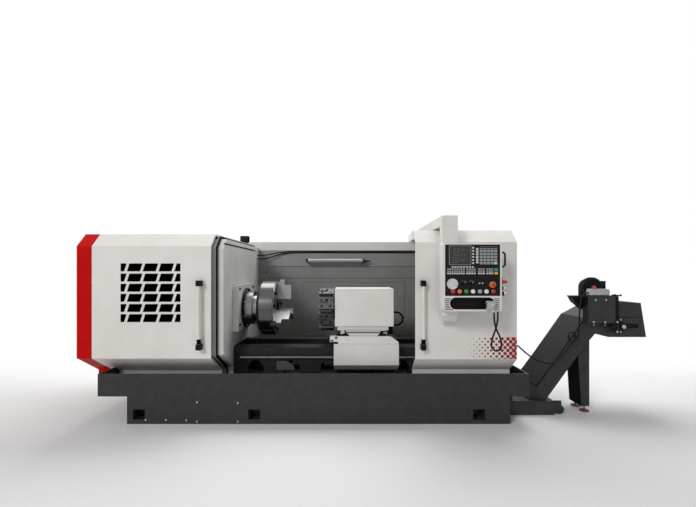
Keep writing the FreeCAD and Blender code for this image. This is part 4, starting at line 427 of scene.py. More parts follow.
def turn_profile(shape, profile, origin, axis, steps=32):
    """Add a turned solid from (distance along the axis, radius) points about an axis.

    A profile that ends where it begins gives a ring; any other is closed by flat ends."""
    axis = Vector(axis).normalized()
    across = axis.orthogonal().normalized()
    other = axis.cross(across)
    origin = Vector(origin)
    rings = []
    part = bmesh.new()
    for along, radius in profile:
        if radius < 1e-6:
            rings.append([part.verts.new(origin + axis * along)])
            continue
        ring = []
        for step in range(steps):
            angle = 2 * math.pi * step / steps
            outward = across * math.cos(angle) + other * math.sin(angle)
            ring.append(part.verts.new(origin + axis * along + outward * radius))
        rings.append(ring)
    for first, second in zip(rings, rings[1:]):
        for step in range(steps):
            following = (step + 1) % steps
            corners = []
            for ring, index in ((first, step), (first, following), (second, following),
                                (second, step)):
                vertex = ring[index % len(ring)]
                if vertex not in corners:
                    corners.append(vertex)
            if len(corners) > 2:
                part.faces.new(corners)
    if profile[0] == profile[-1]:
        bmesh.ops.remove_doubles(part, verts=part.verts[:], dist=1e-7)
    else:
        for ring, flip in ((rings[0], True), (rings[-1], False)):
            if len(ring) > 1:
                part.faces.new(list(reversed(ring)) if flip else ring)
    bmesh.ops.recalc_face_normals(part, faces=part.faces[:])
    merge(shape, part)


def mesh_from(name, shape):
    mesh = bpy.data.meshes.new(name)
    shape.to_mesh(mesh)
    shape.free()
    return mesh


def blocks(name, material, seat, boxes, bevel=1.0):
    """Broken-edged blocks of one piece, each between two corners in millimetres."""
    shape = bmesh.new()
    for low, high in boxes:
        box_mesh(shape, Vector(low) * MM, Vector(high) * MM, bevel * MM)
    return piece(name, shape, material, seat)


def turnings(name, material, seat, axis, profile, centres, steps=24):
    """The same turned profile, in millimetres, at each centre of one piece."""
    shape = bmesh.new()
    for centre in centres:
        turn_profile(shape, [(along * MM, radius * MM) for along, radius in profile],
                     Vector(centre) * MM, axis, steps)
    return piece(name, shape, material, seat)


def plates(name, material, seat, pieces, bevel=0.0):
    """Plates of one piece, each an (X, Z) outline between two Y faces in millimetres."""
    shape = bmesh.new()
    for outline, low, high in pieces:
        prism(shape, outline, low, high, ALONG_Y, bevel)
    return piece(name, shape, material, seat)


# ---------------------------------------------------------------- fasteners

def screw_head():
    """A socket-head cap screw of 1 m diameter, seated at the origin and facing +Z."""
    shape = bmesh.new()
    turns = [2 * math.pi * step / 12 for step in range(12)]
    rings = [[shape.verts.new((radius * math.cos(turn), radius * math.sin(turn), height))
              for turn in turns] for radius, height in
             ((0.5, 0.0), (0.5, 0.52), (0.45, 0.6), (0.27, 0.6), (0.27, 0.3))]
    skin(shape, rings)
    shape.faces.new(rings[-1])
    shape.faces.new(list(reversed(rings[0])))
    bmesh.ops.recalc_face_normals(shape, faces=shape.faces[:])
    head = bpy.data.objects.new("screw_head", mesh_from("screw_head", shape))
    bpy.context.collection.objects.link(head)
    return head


def fastener_tree():
    """Put a head on each point, turned to face along the point's own direction."""
    tree = bpy.data.node_groups.new("fasteners", "GeometryNodeTree")
    face = tree.interface
    for name, kind in (("Geometry", "Geometry"), ("Head", "Object"), ("Diameter", "Float"),
                       ("Finish", "Material")):
        face.new_socket(name, in_out="INPUT", socket_type="NodeSocket" + kind)
    face.new_socket("Geometry", in_out="OUTPUT", socket_type="NodeSocketGeometry")
    given = add(tree, "NodeGroupInput")
    head = add(tree, "GeometryNodeObjectInfo", links={"Object": given.outputs["Head"]})
    facing = add(tree, "GeometryNodeInputNamedAttribute", {"data_type": "FLOAT_VECTOR",
                                                           "Name": "facing"})
    turn = add(tree, "FunctionNodeAlignRotationToVector", {"axis": "Z"},
               {"Vector": facing.outputs[0]})
    copies = add(tree, "GeometryNodeInstanceOnPoints", links={
        "Points": given.outputs["Geometry"], "Instance": head.outputs["Geometry"],
        "Rotation": turn.outputs[0], "Scale": given.outputs["Diameter"]})
    real = add(tree, "GeometryNodeRealizeInstances", links={0: copies.outputs[0]})
    finish = add(tree, "GeometryNodeSetMaterial", links={
        "Geometry": real.outputs[0], "Material": given.outputs["Finish"]})
    add(tree, "NodeGroupOutput", links={0: finish.outputs[0]})
    return tree


HEAD = screw_head()
FASTENERS = fastener_tree()


def bolts(name, points, direction, diameter, material, seat):
    """Cap screws at points in millimetres, which all face one way."""
    mesh = bpy.data.meshes.new(name + "_points")
    mesh.from_pydata([[value * MM for value in point] for point in points], [], [])
    for spot in mesh.attributes.new("facing", "FLOAT_VECTOR", "POINT").data:
        spot.vector = direction
    carrier = bpy.data.objects.new(name + "_points", mesh)
    bpy.context.collection.objects.link(carrier)
    modifier = carrier.modifiers.new("fasteners", "NODES")
    modifier.node_group = FASTENERS
    given = {"Head": HEAD, "Diameter": diameter, "Finish": material}
    for item in FASTENERS.interface.items_tree:
        if item.name in given:
            modifier[item.identifier] = given[item.name]
    evaluated = carrier.evaluated_get(bpy.context.evaluated_depsgraph_get())
    result = bpy.data.meshes.new_from_object(evaluated)
    bpy.data.objects.remove(carrier)
    return piece(name, result, material, seat)


# ---------------------------------------------------------------- cords

CORD_RADIUS = 8.0


def hanging_cord(name, route, material):
    """A round cord on one NURBS spline, led by a route of points in millimetres."""
    data = bpy.data.curves.new(name, "CURVE")
    data.dimensions = "3D"
    spline = data.splines.new("NURBS")
    spline.points.add(len(route) - 1)
    for point, (x, y, z) in zip(spline.points, route):
        point.co = (x * MM, y * MM, z * MM, 1.0)
    spline.order_u = 3
    spline.use_endpoint_u = True
    spline.resolution_u = 10
    data.bevel_depth = CORD_RADIUS * MM
    data.bevel_resolution = 3
    data.use_fill_caps = True
    data.materials.append(material)
    cord = bpy.data.objects.new(name, data)
    bpy.context.collection.objects.link(cord)
    return cord


def spline_length(cord):
    """The length of a cord's centre line."""
    plain = cord.data.copy()
    plain.bevel_depth = 0.0
    ghost = bpy.data.objects.new("ghost", plain)
    bpy.context.collection.objects.link(ghost)
    ready = ghost.evaluated_get(bpy.context.evaluated_depsgraph_get())
    line = bpy.data.meshes.new_from_object(ready)
    points = [vertex.co.copy() for vertex in line.vertices]
    bpy.data.objects.remove(ghost)
    return sum((b - a).length for a, b in zip(points, points[1:]))


def lay_cord(name, node, body, material, route):
    """A limp cord of 16 mm, fixed to the machine at both ends, in place of its CAD node."""
    cord = hanging_cord(name, route, material)
    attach(cord, body)
    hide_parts(node)
    spline_length(cord)


def pulse_cord():
    """The curly lead of the hand pulse unit, which hangs in a loop under it."""
    lay_cord("pulse_lead", "pulse_cable", "pendant", CURLY_LEAD,
             [(1621, -1028, 1150.3), (1622, -1028, 1060), (1646, -1026, 990),
              (1674, -1022, 936), (1692, -1018, 884), (1693, -1017, 842), (1687, -1016, 820),
              (1671, -1014, 804), (1649, -1013, 798), (1627, -1012, 804), (1611, -1011, 820),
              (1605, -1010, 842), (1606, -1009, 884), (1624, -1005, 940), (1646, -1000, 990),
              (1662, -996, 1050), (1673, -985, 1095), (1673, -985, 1158.8)])


def motor_cord():
    """The corrugated conduit from the end wall to the conveyor's motor."""
    lay_cord("motor_conduit", "conveyor_cable", "machine", CONDUIT,
             [(1950.2, -400, 770), (2015, -400, 770), (2104, -440, 740), (2152, -460, 687),
              (2230, -462, 624), (2317, -462, 575), (2396, -462, 552), (2459, -462, 552),
              (2530, -461, 594), (2611, -460, 692), (2656, -459, 752), (2704, -458, 806),
              (2704, -464, 880), (2624, -472, 880), (2624, -480, 800), (2700, -486, 782),
              (2727, -480, 870), (2742, -472, 980), (2748, -466, 1085), (2762, -460, 1190),
              (2780, -460, 1300), (2851.8, -460, 1300)])


# ---------------------------------------------------------------- seats

# The body that a piece rides on and a record slot, which the script does not use.
PANEL = ("pendant", "control_panel")
BOX = ("pendant", "control_box")
PULSE_UNIT = ("pendant", "pulse_unit")
GEARMOTOR = ("machine", "conveyor_gearmotor")
CHAIN_GUARD = ("machine", "chain_guard")
CASING = ("machine", "conveyor_casing")
LEG = ("machine", "conveyor_leg")
GUARD_WALL = ("machine", "headstock_guard")
LAMP = ("machine", "work_lamp")
BED = ("machine", "bed")
CHUCK = ("spindle_unit", "chuck_body")
SLIDE_COVER = ("saddle", "cross_slide_cover")


# ---------------------------------------------------------------- control box

PANEL_Y = -1.006
KEY_FACE = -1.008
STOP_BUTTON = (1615.0, -1006.0, 1404.0)
SELECTORS_X = (1.356, 1.426)
SELECTOR_Z = 1.416


def key_caps(name, cells, material, proud=0.0015):
    """Thin key caps on the panel, one for each (left, low, width, height) in millimetres."""
    shape = bmesh.new()
    for left, low, width, height in cells:
        box_mesh(shape, (left * MM, KEY_FACE - proud, low * MM),
                 ((left + width) * MM, PANEL_Y, (low + height) * MM), 0.0006)
    return piece(name, shape, material, PANEL)


def cell_grid(left, low, width, height, columns, rows, gap):
    """Cells that fill a rectangle in columns and rows with a gap between them."""
    across = (width - gap * (columns - 1)) / columns
    up = (height - gap * (rows - 1)) / rows
    return [(left + column * (across + gap), low + row * (up + gap), across, up)
            for column in range(columns) for row in range(rows)]


def panel_keys():
    pads = [(1198, 165, 8), (1374, 88, 4), (1480, 66, 3), (1557, 66, 3)]
    upper, lower = [], []
    for left, width, columns in pads:
        cells = cell_grid(left + 2, 1500, width - 4, 54, columns, 3, 5)
        lower += [c for c in cells if c[1] < 1505]
        upper += [c for c in cells if c[1] >= 1505]
    letters = [(1498 + 33 * column, 1590 + 28 * row, 28, 23)
               for column in range(5) for row in range(6)]
    key_caps("keypad_caps", [c for c in letters if c[1] > 1598 or c[0] < 1598], GREY_KEY)
    key_caps("keypad_enter_row", [c for c in letters if c[1] < 1598 and c[0] >= 1598] +
             [(1498 + 33 * column, 1738, 28, 12) for column in range(5)], PALE_KEY)
    key_caps("machine_keys", upper, GREY_KEY)
    key_caps("machine_keys_low_row", lower + [(1464, 1600 + 24 * row, 22, 19)
                                              for row in range(6)], PALE_KEY)
    key_caps("screen_keys", [(1430, 1594 + 28 * row, 16, 16) for row in range(6)] +
             [(1240 + 26.6 * number, 1560, 18, 12) for number in range(8)], PALE_KEY)
    key_caps("start_key", [(1630, 1526, 34, 30)], GREEN_CAP, 0.003)
    key_caps("pause_key", [(1634, 1497, 28, 22)], YELLOW_KEY, 0.003)


def panel_screen():
    """The screen's glass, its bezel, and a faint grid of traces with no words."""
    blocks("screen_glass", SCREEN, PANEL,
           [((1224.5, -1005.2, 1590.5), (1413.5, -1004.5, 1756.5))], 0.2)
    blocks("screen_bezel", GREY_BEZEL, PANEL,
           [((1216, -1009, 1757), (1422, -1006, 1764)), ((1216, -1009, 1583), (1422, -1006, 1590)),
            ((1216, -1009, 1590), (1224, -1006, 1757)), ((1414, -1009, 1590), (1422, -1006, 1757))])
    rng = random.Random(7)
    trace = bmesh.new()
    for row in range(9):
        left = 1.232 + rng.uniform(0.0, 0.03)
        height = 1.605 + row * 0.0155
        for _ in range(rng.randint(2, 4)):
            width = rng.uniform(0.012, 0.035)
            if left + width > 1.402:
                break
            box_mesh(trace, (left, -1.0056, height), (left + width, -1.0050, height + 0.003))
            left += width + rng.uniform(0.006, 0.02)
    piece("screen_traces", trace, TRACE, PANEL)


def button_spots(numbers):
    """Where the round buttons of a row of seven sit on the panel, in millimetres."""
    return [(1250.0 + 61.4 * number, -1006.0, 1342.5) for number in numbers]


def panel_lamps():
    """Lenses and collars of the round buttons, the stop button's cap, and marks."""
    profile = [(4.5, 13.2), (4.5, 18.0), (6.0, 19.6), (15.0, 19.0), (18.5, 14.0), (19.5, 0.0)]
    for name, numbers, material, seat in (
            ("red_lens", (0,), RED_CAP, ("red_button_unit", "red_button")),
            ("orange_lens", (1,), ORANGE_CAP, PANEL),
            ("green_lens", (2,), GREEN_CAP, ("green_button_unit", "green_button")),
            ("white_lenses", (3, 5), WHITE_CAP, PANEL), ("end_red_lens", (6,), RED_CAP, PANEL)):
        turnings(name, material, seat, TO_FRONT, profile, button_spots(numbers))
    turnings("button_collars", BLACK_PLASTIC, PANEL, TO_FRONT,
             [(0.0, 20.2), (0.0, 22.6), (2.5, 22.6), (3.5, 21.2), (3.5, 20.2), (0.0, 20.2)],
             button_spots(range(7)), 28)
    turnings("key_barrel_rim", ZINC, ("key_unit", "key_switch"), TO_FRONT,
             [(10.0, 13.2), (10.0, 18.0), (16.5, 18.0), (17.5, 16.5), (17.5, 13.2),
              (10.0, 13.2)], button_spots((4,)), 28)
    turnings("estop_cap", RED_CAP, ("estop_unit", "estop_button"), TO_FRONT,
             [(21.5, 21.0), (25.5, 20.5), (28.0, 16.0), (28.8, 8.0), (29.0, 0.0)],
             [STOP_BUTTON], 32)
    turnings("estop_ring", ORANGE_CAP, PANEL, TO_FRONT,
             [(0.0, 27.5), (0.0, 29.5), (3.0, 29.0), (3.5, 27.5), (0.0, 27.5)], [STOP_BUTTON],
             32)
    marks = bmesh.new()
    for centre in SELECTORS_X:
        for angle in (-50, -25, 0, 25, 50):
            lean = math.radians(angle)
            x = centre + 0.0235 * math.sin(lean)
            z = SELECTOR_Z + 0.0235 * math.cos(lean)
            box_mesh(marks, (x - 0.0012, -1.0068, z - 0.0025),
                     (x + 0.0012, PANEL_Y, z + 0.0025))
    for x in (1.4966, 1.5240):
        box_mesh(marks, (x - 0.005, -1.0075, 1.4125), (x + 0.005, PANEL_Y, 1.4225), 0.0005)
    piece("panel_marks", marks, WHITE_CAP, PANEL)
    for number, centre in enumerate(SELECTORS_X, 1):
        pointer = bmesh.new()
        box_mesh(pointer, (centre - 0.0012, -1.0322, 1.4185),
                 (centre + 0.0012, -1.0312, 1.4290))
        piece("selector_pointer_%d" % number, pointer, WHITE_CAP,
              ("selector_unit_%d" % number, "selector_%d" % number))


def stadium_ring(left, low, width, height, inset):
    """Corner points of a round-ended outline, moved in by an inset."""
    steps = 14
    radius = height / 2 - inset
    middle = low + height / 2
    points = []
    for centre, start in ((left + width - height / 2, -90), (left + height / 2, 90)):
        for step in range(steps + 1):
            angle = math.radians(start + 180 * step / steps)
            points.append((centre + radius * math.cos(angle), middle + radius * math.sin(angle)))
    return points


def tray_liner():
    """A moulded black cup inside the tray under the panel, with a rolled rim."""
    shape = bmesh.new()
    rings = []
    for inset, depth in ((-0.004, -1.0115), (0.0035, -1.0115), (0.0045, -0.956), (0.0015, -0.9545),
                         (0.0005, -1.0105), (-0.004, -1.0105)):
        outline = stadium_ring(1.228, 1.182, 0.402, 0.101, inset)
        rings.append([shape.verts.new((x, depth, z)) for x, z in outline])
    skin(shape, rings + rings[:1])
    shape.faces.new(rings[2])
    shape.faces.new(rings[3])
    bmesh.ops.recalc_face_normals(shape, faces=shape.faces[:])
    piece("tray_liner", shape, BLACK_PLASTIC, BOX)


def box_vents():
    """Louvre strips at both sides of the tray."""
    shape = bmesh.new()
    middle = 1.182 + 0.0505
    for row in range(7):
        z = 1.176 + row * 0.0165
        reach = math.sqrt(max(0.0, 0.062 ** 2 - (z - middle) ** 2))
        for left, right in ((1.177, 1.2785 - reach), (1.5795 + reach, 1.678)):
            box_mesh(shape, (left, -1.0128, z - 0.0045), (right, -1.0095, z + 0.0045), 0.001)
    piece("tray_louvres", shape, GREY_BEZEL, BOX)


def box_side():
    """The grip's black sleeve, the red push button and the sockets on the box's right side."""
    plates("grip_sleeve", BLACK_PLASTIC, BOX,
           [([(1701.5, 1561.5), (1744.3, 1561.5), (1766.6, 1583.5), (1766.6, 1689.5),
              (1744.3, 1711.5), (1701.5, 1711.5), (1701.5, 1698.5), (1738.7, 1698.5),
              (1753.4, 1683.5), (1753.4, 1589.5), (1738.7, 1574.5), (1701.5, 1574.5)],
             -941.6, -928.4)])
    blocks("side_socket_plate", BLACK_PLASTIC, BOX,
           [((1700.5, -985, 1296), (1716, -925, 1480)), ((1714, -972, 1398), (1723, -938, 1462)),
            ((1714, -976, 1300), (1736, -934, 1338)), ((1714, -974, 1352), (1731, -936, 1384))],
           2.0)
    turnings("side_button", RED_CAP, BOX, TO_RIGHT,
             [(0.0, 13.5), (14.0, 16.5), (38.0, 17.0), (48.0, 12.0), (50.0, 0.0)],
             [(1721, -955, 1430)])
    turnings("side_plugs", ZINC, BOX, TO_RIGHT,
             [(0.0, 12.0), (22.0, 12.0), (27.0, 8.0), (27.0, 0.0)],
             [(1730, -955, 1368), (1735, -955, 1320)], 20)


def pulse_face():
    """The dial's graduated ring, its knob, and the unit's two small knobs."""
    turnings("dial_ring", CHROME, PULSE_UNIT, TO_FRONT,
             [(-15.5, 36.5), (-15.5, 38.0), (0.0, 35.5), (1.5, 32.0), (1.5, 26.0), (0.0, 25.5),
              (-15.5, 36.5)], [(1583, -1052, 1210)], 40)
    knob = bmesh.new()
    turn_profile(knob, [(0.0, 0.010), (0.008, 0.0095), (0.009, 0.0)],
                 (1.595, -1.052, 1.222), (0, -1, 0), 20)
    turn_profile(knob, [(0.0, 0.012), (0.009, 0.011), (0.010, 0.0)],
                 (1.607, -1.036, 1.168), (0, -1, 0), 20)
    piece("pulse_knobs", knob, GREY_KNOB, PULSE_UNIT)


# ---------------------------------------------------------------- inside the enclosure

SPINDLE_Z = 1100.0


def bolt_circle(x, radius, angles):
    """Points round the spindle's axis at angles in degrees, in millimetres."""
    turns = [math.radians(angle) for angle in angles]
    return [(x, radius * math.cos(turn), SPINDLE_Z + radius * math.sin(turn)) for turn in turns]


def nose_details():
    """The nose plate's screws and the gasket along the top of the headstock's wall."""
    bolts("nose_plate_screws", [(-904, y, z) for y in (-293, 293) for z in (934, 1336)],
          TO_RIGHT, 0.024, BLACK_PAINT, ("machine", "headstock"))
    bolts("nose_cover_screws", bolt_circle(-877, 214, [22.5 + 45 * n for n in range(8)]),
          TO_RIGHT, 0.014, ZINC, ("machine", "spindle_nose_cover"))
    blocks("wall_gasket", RUBBER, GUARD_WALL,
           [((-966.0, -636, 1804), (-961.0, 676, 1817))], 1.5)


def seal_retainer():
    """A bent grey strip beside the door's seal, along the hood's section: painted shade on the
    door's inner side.
    """
    front, sill, roof, run, drop, bevel, back = -690, 654, 1911, 330, 199, 132, 868
    slope = math.hypot(run, drop)
    lines = []
    for inset in (20.4, 21.6):
        low = sill + inset * (slope - drop) / run
        turn = inset * math.tan(math.radians(22.5))
        lines.append([(front + inset + run, low - drop - 100), (front + inset + run, low - drop),
                      (front + inset, low), (front + inset, roof - bevel - turn),
                      (front + bevel + turn, roof - inset), (back, roof - inset)])
    shape = bmesh.new()
    # The grey strip is painted shade where the door's inner side lies in shade.
    prism(shape, lines[0] + list(reversed(lines[1])), -1046.4, -1034.5)
    piece("seal_retainer", shape, GREY_BEZEL, ("machine", "left_door_seal"))


def chuck_details():
    """Cap screws of the chuck's face, and the two screws of every top jaw."""
    angles = [150 + 120 * number + side for number in range(3) for side in (-21, 21)]
    bolts("chuck_face_screws", bolt_circle(-534, 225, angles), TO_RIGHT, 0.03, BLACK_PAINT, CHUCK)
    # A bright zinc ring round the rim of the chuck's face: a painted highlight on the face's edge.
    turnings("chuck_bevel", ZINC, CHUCK, TO_RIGHT,
             [(0.0, 300.0), (0.0, 309.0), (1.2, 308.0), (1.2, 300.0), (0.0, 300.0)],
             [(-534.0, 0.0, SPINDLE_Z)], 96)


def turret_details():
    """Black discs in the eight tool blocks of the turret's disc: painted shade where the clamping
    holes are.
    """
    hole_shades = bmesh.new()
    for number in range(8):
        angle = math.radians(22.5 + 45 * number)
        outward = Vector((0, math.cos(angle), math.sin(angle)))
        along = Vector((0, -math.sin(angle), math.cos(angle)))
        centre = Vector((0, -0.2, SPINDLE_Z * MM)) + outward * 0.228
        for x, side, radius in ((14, 36, 13), (106, 36, 13), (66, -34, 14), (118, -34, 9),
                                (10, -36, 10)):
            spot = centre + along * side * MM + Vector((x * MM, 0, 0))
            # Each thin black disc is painted shade standing in for a hole's dark inside.
            turn_profile(hole_shades, [(-0.001, radius * MM), (0.0006, radius * MM),
                                 (0.0008, (radius - 2) * MM), (0.0002, (radius - 3) * MM),
                                 (0.0002, 0.0)], spot, outward, 14)
    piece("tool_block_holes", hole_shades, RUBBER, ("turret_head", "turret_disc"))


def slide_details():
    """The wiper plate in front of the cross slide, its black ends, and the switch's knob."""
    shape = bmesh.new()
    for left, right, low in ((216, 284, 843), (284, 634, 875), (634, 712, 843)):
        front = -452 + (low - 843) * 1.2
        prism(shape, [(front, low), (-392, 893), (-392, 888), (front + 6, low)], left, right)
    piece("slide_wiper_plate", shape, LIGHT_GREY, ("turret_slide", "cross_slide_cover"))
    plates("gib_cover", LIGHT_GREY, SLIDE_COVER,
           [([(311, 840.3), (607, 840.3), (631, 872), (287, 872)], -459, -455.2)])
    left = [(170, 857), (170, 845), (283, 845), (283, 858), (272, 897), (254, 897), (266, 872),
            (232, 860)]
    right = [(634, 845), (706, 845), (706, 862), (668, 862), (668, 880), (706, 884), (706, 893),
             (642, 893), (634, 868)]
    plates("wiper_ends", RUBBER, ("turret_slide", "cross_slide"),
           [(left, -460, -448), (right, -460, -448)], 1.0)
    plates("saddle_end_cover", WHITE_COAT, ("saddle", "apron_cover"),
           [([(730, 758), (832, 758), (832, 777), (752, 836), (730, 836)], -466, -456.5)], 1.5)
    turnings("switch_knob", RED_CAP, SLIDE_COVER, TO_FRONT,
             [(0.0, 13.0), (9.0, 13.0), (12.0, 9.0), (13.0, 0.0)], [(169, -470, 826)], 20)
    blocks("switch_plug", BLACK_PLASTIC, SLIDE_COVER,
           [((112, -474, 786), (140, -469, 800)), ((98, -462, 812), (105, -436, 832))], 1.5)


def way_details():
    """The bright ground edge along the front way, and the cover over one arch."""
    blocks("front_way_edge", WAY_STEEL, BED,
           [((-885, -340.6, 578), (1748, -338, 598))], 0.2)
    quarter = [(-492 + 75 + 128 * math.sin(math.radians(turn)),
                438 + 100 * math.cos(math.radians(turn))) for turn in range(0, 91, 10)]
    plates("arch_cover", ARCH_GREY, BED,
           [([(-492, 438), (-492, 538)] + quarter, -306, -299)], 3.0)


def pedestal_screws():
    """Small plated screws along the pedestal's front."""
    spots = ((-1726, 44), (-1523, 44), (-1321, 40), (-1213, 220), (-1213, 28), (-806, 212),
             (-806, 28))
    face = -690
    bolts("pedestal_screws", [(x, face, z) for x, z in spots], TO_FRONT, 0.018, ZINC,
          ("machine", "pedestal"))


def folded_sheet(shape, left, right, line, thickness):
    """A sheet folded along a line of (Y, Z) points, between two X, thickened to the rear."""
    behind = [(y + thickness, z + thickness * 0.5) for y, z in reversed(line)]
    prism(shape, line + behind, left, right)


def sill_sheets():
    """The red cap's lower end and the fixed white sheet beside it, along the sill's slope."""
    red = bmesh.new()
    folded_sheet(red, -2419, -2271, [(-680, 653), (-357, 459), (-357, 300)], 3)
    piece("end_cap_skirt", red, RED_ENAMEL, ("machine", "end_cap"))
    white = bmesh.new()
    folded_sheet(white, -2266, -2212, [(-502, 546.5), (-357, 459), (-357, 300)], 3)
    folded_sheet(white, -2211, -2193, [(-502, 546.5), (-433, 505)], 3)
    piece("sill_sheet", white, WHITE_COAT, GUARD_WALL)


def wall_details():
    """End brackets and plug of the work lamp, and the rear wall's screws."""
    left = [(-268, 1648), (-232, 1648), (-252, 1702), (-292, 1702)]
    right = [(492, 1648), (528, 1648), (528, 1702), (492, 1702)]
    plates("lamp_brackets", BLACK_PAINT, LAMP,
           [(left, 752, 866), (right, 752, 866)], 2.0)
    turnings("lamp_plug", RUBBER, LAMP, TO_RIGHT,
             [(0.0, 13.0), (38.0, 13.0), (44.0, 9.0), (92.0, 7.0), (94.0, 0.0)],
             [(528, 800, 1672)], 16)
    bolts("rear_wall_screws", [(-853, 880, 1513), (1560, 880, 1513)], TO_FRONT, 0.026,
          BLACK_PAINT, ("machine", "rear_guard"))


def vent_filter():
    """A dark grey foam filter mat in its frame behind the left door's vent."""
    blocks("vent_filter", ARCH_GREY, ("left_door_unit", "left_door"),
           [((-1992, -686.6, 1007), (-1369, -680, 1617)),
            ((-2000, -686.6, 999), (-1361, -683, 1625))], 1.0)


def handle_ferrules():
    """Black rubber ferrules where the handle tubes enter their brackets."""
    profile = [(0.0, 17.2), (0.0, 20.5), (48.0, 20.5), (50.0, 17.2), (0.0, 17.2)]
    for side, x in (("left", -1181), ("right", 1040)):
        turnings(side + "_handle_lower_ferrule", RUBBER,
                 (side + "_door_unit", side + "_door_handle"), UP, profile, [(x, -735, 806)], 20)


# ---------------------------------------------------------------- conveyor

def gearmotor_details():
    """The terminal box's lid and red gland, and the fins and fan cowl of the motor."""
    blocks("terminal_box_shell", DIE_CAST, GEARMOTOR,
           [((2848, -491.5, 1276), (3053, -417, 1330)), ((2856, -489, 1328), (3045, -420, 1341)),
            ((2861, -492.5, 1286), (3040, -490, 1322))], 2.5)
    bolts("terminal_box_screws", [(x, -491.5, z) for x in (2854, 3047) for z in (1282, 1324)],
          TO_FRONT, 0.009, ZINC, GEARMOTOR)
    turnings("red_gland", RED_CAP, GEARMOTOR, UP,
             [(0.0, 24.0), (14.0, 24.0), (16.0, 20.0), (32.0, 18.0), (34.0, 0.0)],
             [(2906, -455, 1340.5)], 20)
    fins = bmesh.new()
    for number in range(21):
        angle = math.radians(-10 + 200 * number / 20)
        outward = Vector((math.cos(angle), 0, math.sin(angle)))
        side = Vector((-math.sin(angle), 0, math.cos(angle)))
        foot = Vector((2.938, 0, 1.353)) + outward * 0.101
        part = bmesh.new()
        corners = []
        for y in (-0.394, -0.336):
            for reach, half in ((0.0, 0.002), (0.009, 0.0012)):
                for sign in (-1, 1):
                    corners.append(part.verts.new(foot + outward * reach + side * half * sign +
                                                  Vector((0, y, 0))))
        bmesh.ops.convex_hull(part, input=part.verts[:])
        merge(fins, part)
    piece("motor_fins", fins, BLACK_PAINT, GEARMOTOR)
    plates("motor_bracket", BLACK_PAINT, GEARMOTOR,
           [([(2724, 1251), (2724, 1236), (2748, 1196), (2850, 1110), (2850, 1251)], -396, -300)],
           2.0)
    turnings("motor_end_shield", BLACK_PAINT, GEARMOTOR, TO_FRONT,
             [(0.0, 98.0), (7.0, 95.0), (9.0, 80.0), (4.0, 76.0), (4.0, 34.0), (11.0, 30.0),
              (12.0, 0.0)], [(2938, -395, 1353)], 40)


def guard_details():
    """The chain guard's black flank, painted shade on its side, and its bar, its screws and the
    tensioner beside it.
    """
    # A thin black plate on the guard's left side: painted shade on that face.
    blocks("guard_flank", BLACK_PAINT, CHAIN_GUARD,
           [((2821.0, -488.5, 983), (2824.5, -401, 1266))], 0.8)
    blocks("guard_bar", BLACK_PAINT, CHAIN_GUARD,
           [((3115, -494.5, 886), (3134, -489, 1262)), ((3134, -492, 1000), (3146.5, -401, 1262))],
           1.5)
    bolts("guard_screws", [(2898, -490, 1226), (3007, -490, 1226), (2876, -490, 993),
                           (2998, -490, 993), (3122, -494.5, 996), (3122, -494.5, 893)],
          TO_FRONT, 0.02, ZINC, CHAIN_GUARD)
    bolts("bearing_screws", [(2936, -400, 952), (3060, -400, 952), (3226, -400, 1008),
                             (3226, -400, 877)], TO_FRONT, 0.018, ZINC, CASING)
    turnings("bearing_ring", BLACK_PAINT, CASING, TO_FRONT,
             [(0.0, 36.0), (0.0, 52.0), (9.0, 50.0), (11.0, 46.0), (11.0, 36.0), (0.0, 36.0)],
             [(3232, -400, 936)], 32)
    turnings("shaft_nut", ZINC, ("conveyor_drive", "conveyor_shaft"), TO_FRONT,
             [(0.0, 21.0), (9.0, 21.0), (10.5, 18.5), (10.5, 9.0), (4.0, 8.0), (4.0, 0.0)],
             [(3232, -445, 936)], 6)
    turnings("clamp_rod", BLACK_PAINT, CHAIN_GUARD, TO_RIGHT,
             [(0.0, 9.0), (22.0, 9.0), (22.0, 13.0), (40.0, 13.0), (40.0, 6.0), (88.0, 6.0),
              (90.0, 10.0), (100.0, 10.0), (102.0, 0.0)], [(3098, -455, 1272)], 16)
    # A black plate over the casing's slot: painted shade standing in for the dark opening.
    blocks("slot_plate", BLACK_PAINT, CASING,
           [((3284, -402.5, 915), (3424, -399.5, 962))], 1.2)
    blocks("head_seam", BLACK_PAINT, CASING,
           [((3150, -402.5, 1030), (3468, -399, 1035))], 0.8)


def leg_details():
    """Red pads under the levelling feet, lock nuts, and a black sheet on the leg's inner face as
    painted shade.
    """
    turnings("foot_pads", RED_ENAMEL, LEG, UP,
             [(2.0, 44.0), (2.0, 47.0), (9.0, 47.5), (11.0, 44.0), (2.0, 44.0)],
             [(2882.6, -330, 0), (2882.6, -170, 0)], 32)
    # A thin black sheet on the leg's slanted inner face: painted shade on that face.
    plates("leg_flank", RUBBER, LEG,
           [([(2806.4, 664), (2808.4, 664), (2845.9, 57), (2844.1, 57)], -340.5, -122)])
    turnings("foot_nuts", ZINC, LEG, UP,
             [(0.0, 10.0), (0.0, 17.0), (9.0, 17.0), (10.0, 10.0), (0.0, 10.0)],
             [(2882.6, -330, 44), (2882.6, -170, 44)], 6)


# ---------------------------------------------------------------- studio

FLOOR_REACH = 60.0
AMBIENT = 0.34


def seen_directly(tree):
    """1 for rays from the camera, mirrors and glass, and 0 for scattered light."""
    path = add(tree, "ShaderNodeLightPath")
    seen = path.outputs["Is Camera Ray"]
    for kind in ("Is Glossy Ray", "Is Transmission Ray"):
        seen = add(tree, "ShaderNodeMath", {"operation": "MAXIMUM"},
                   {0: seen, 1: path.outputs[kind]}).outputs[0]
    return seen


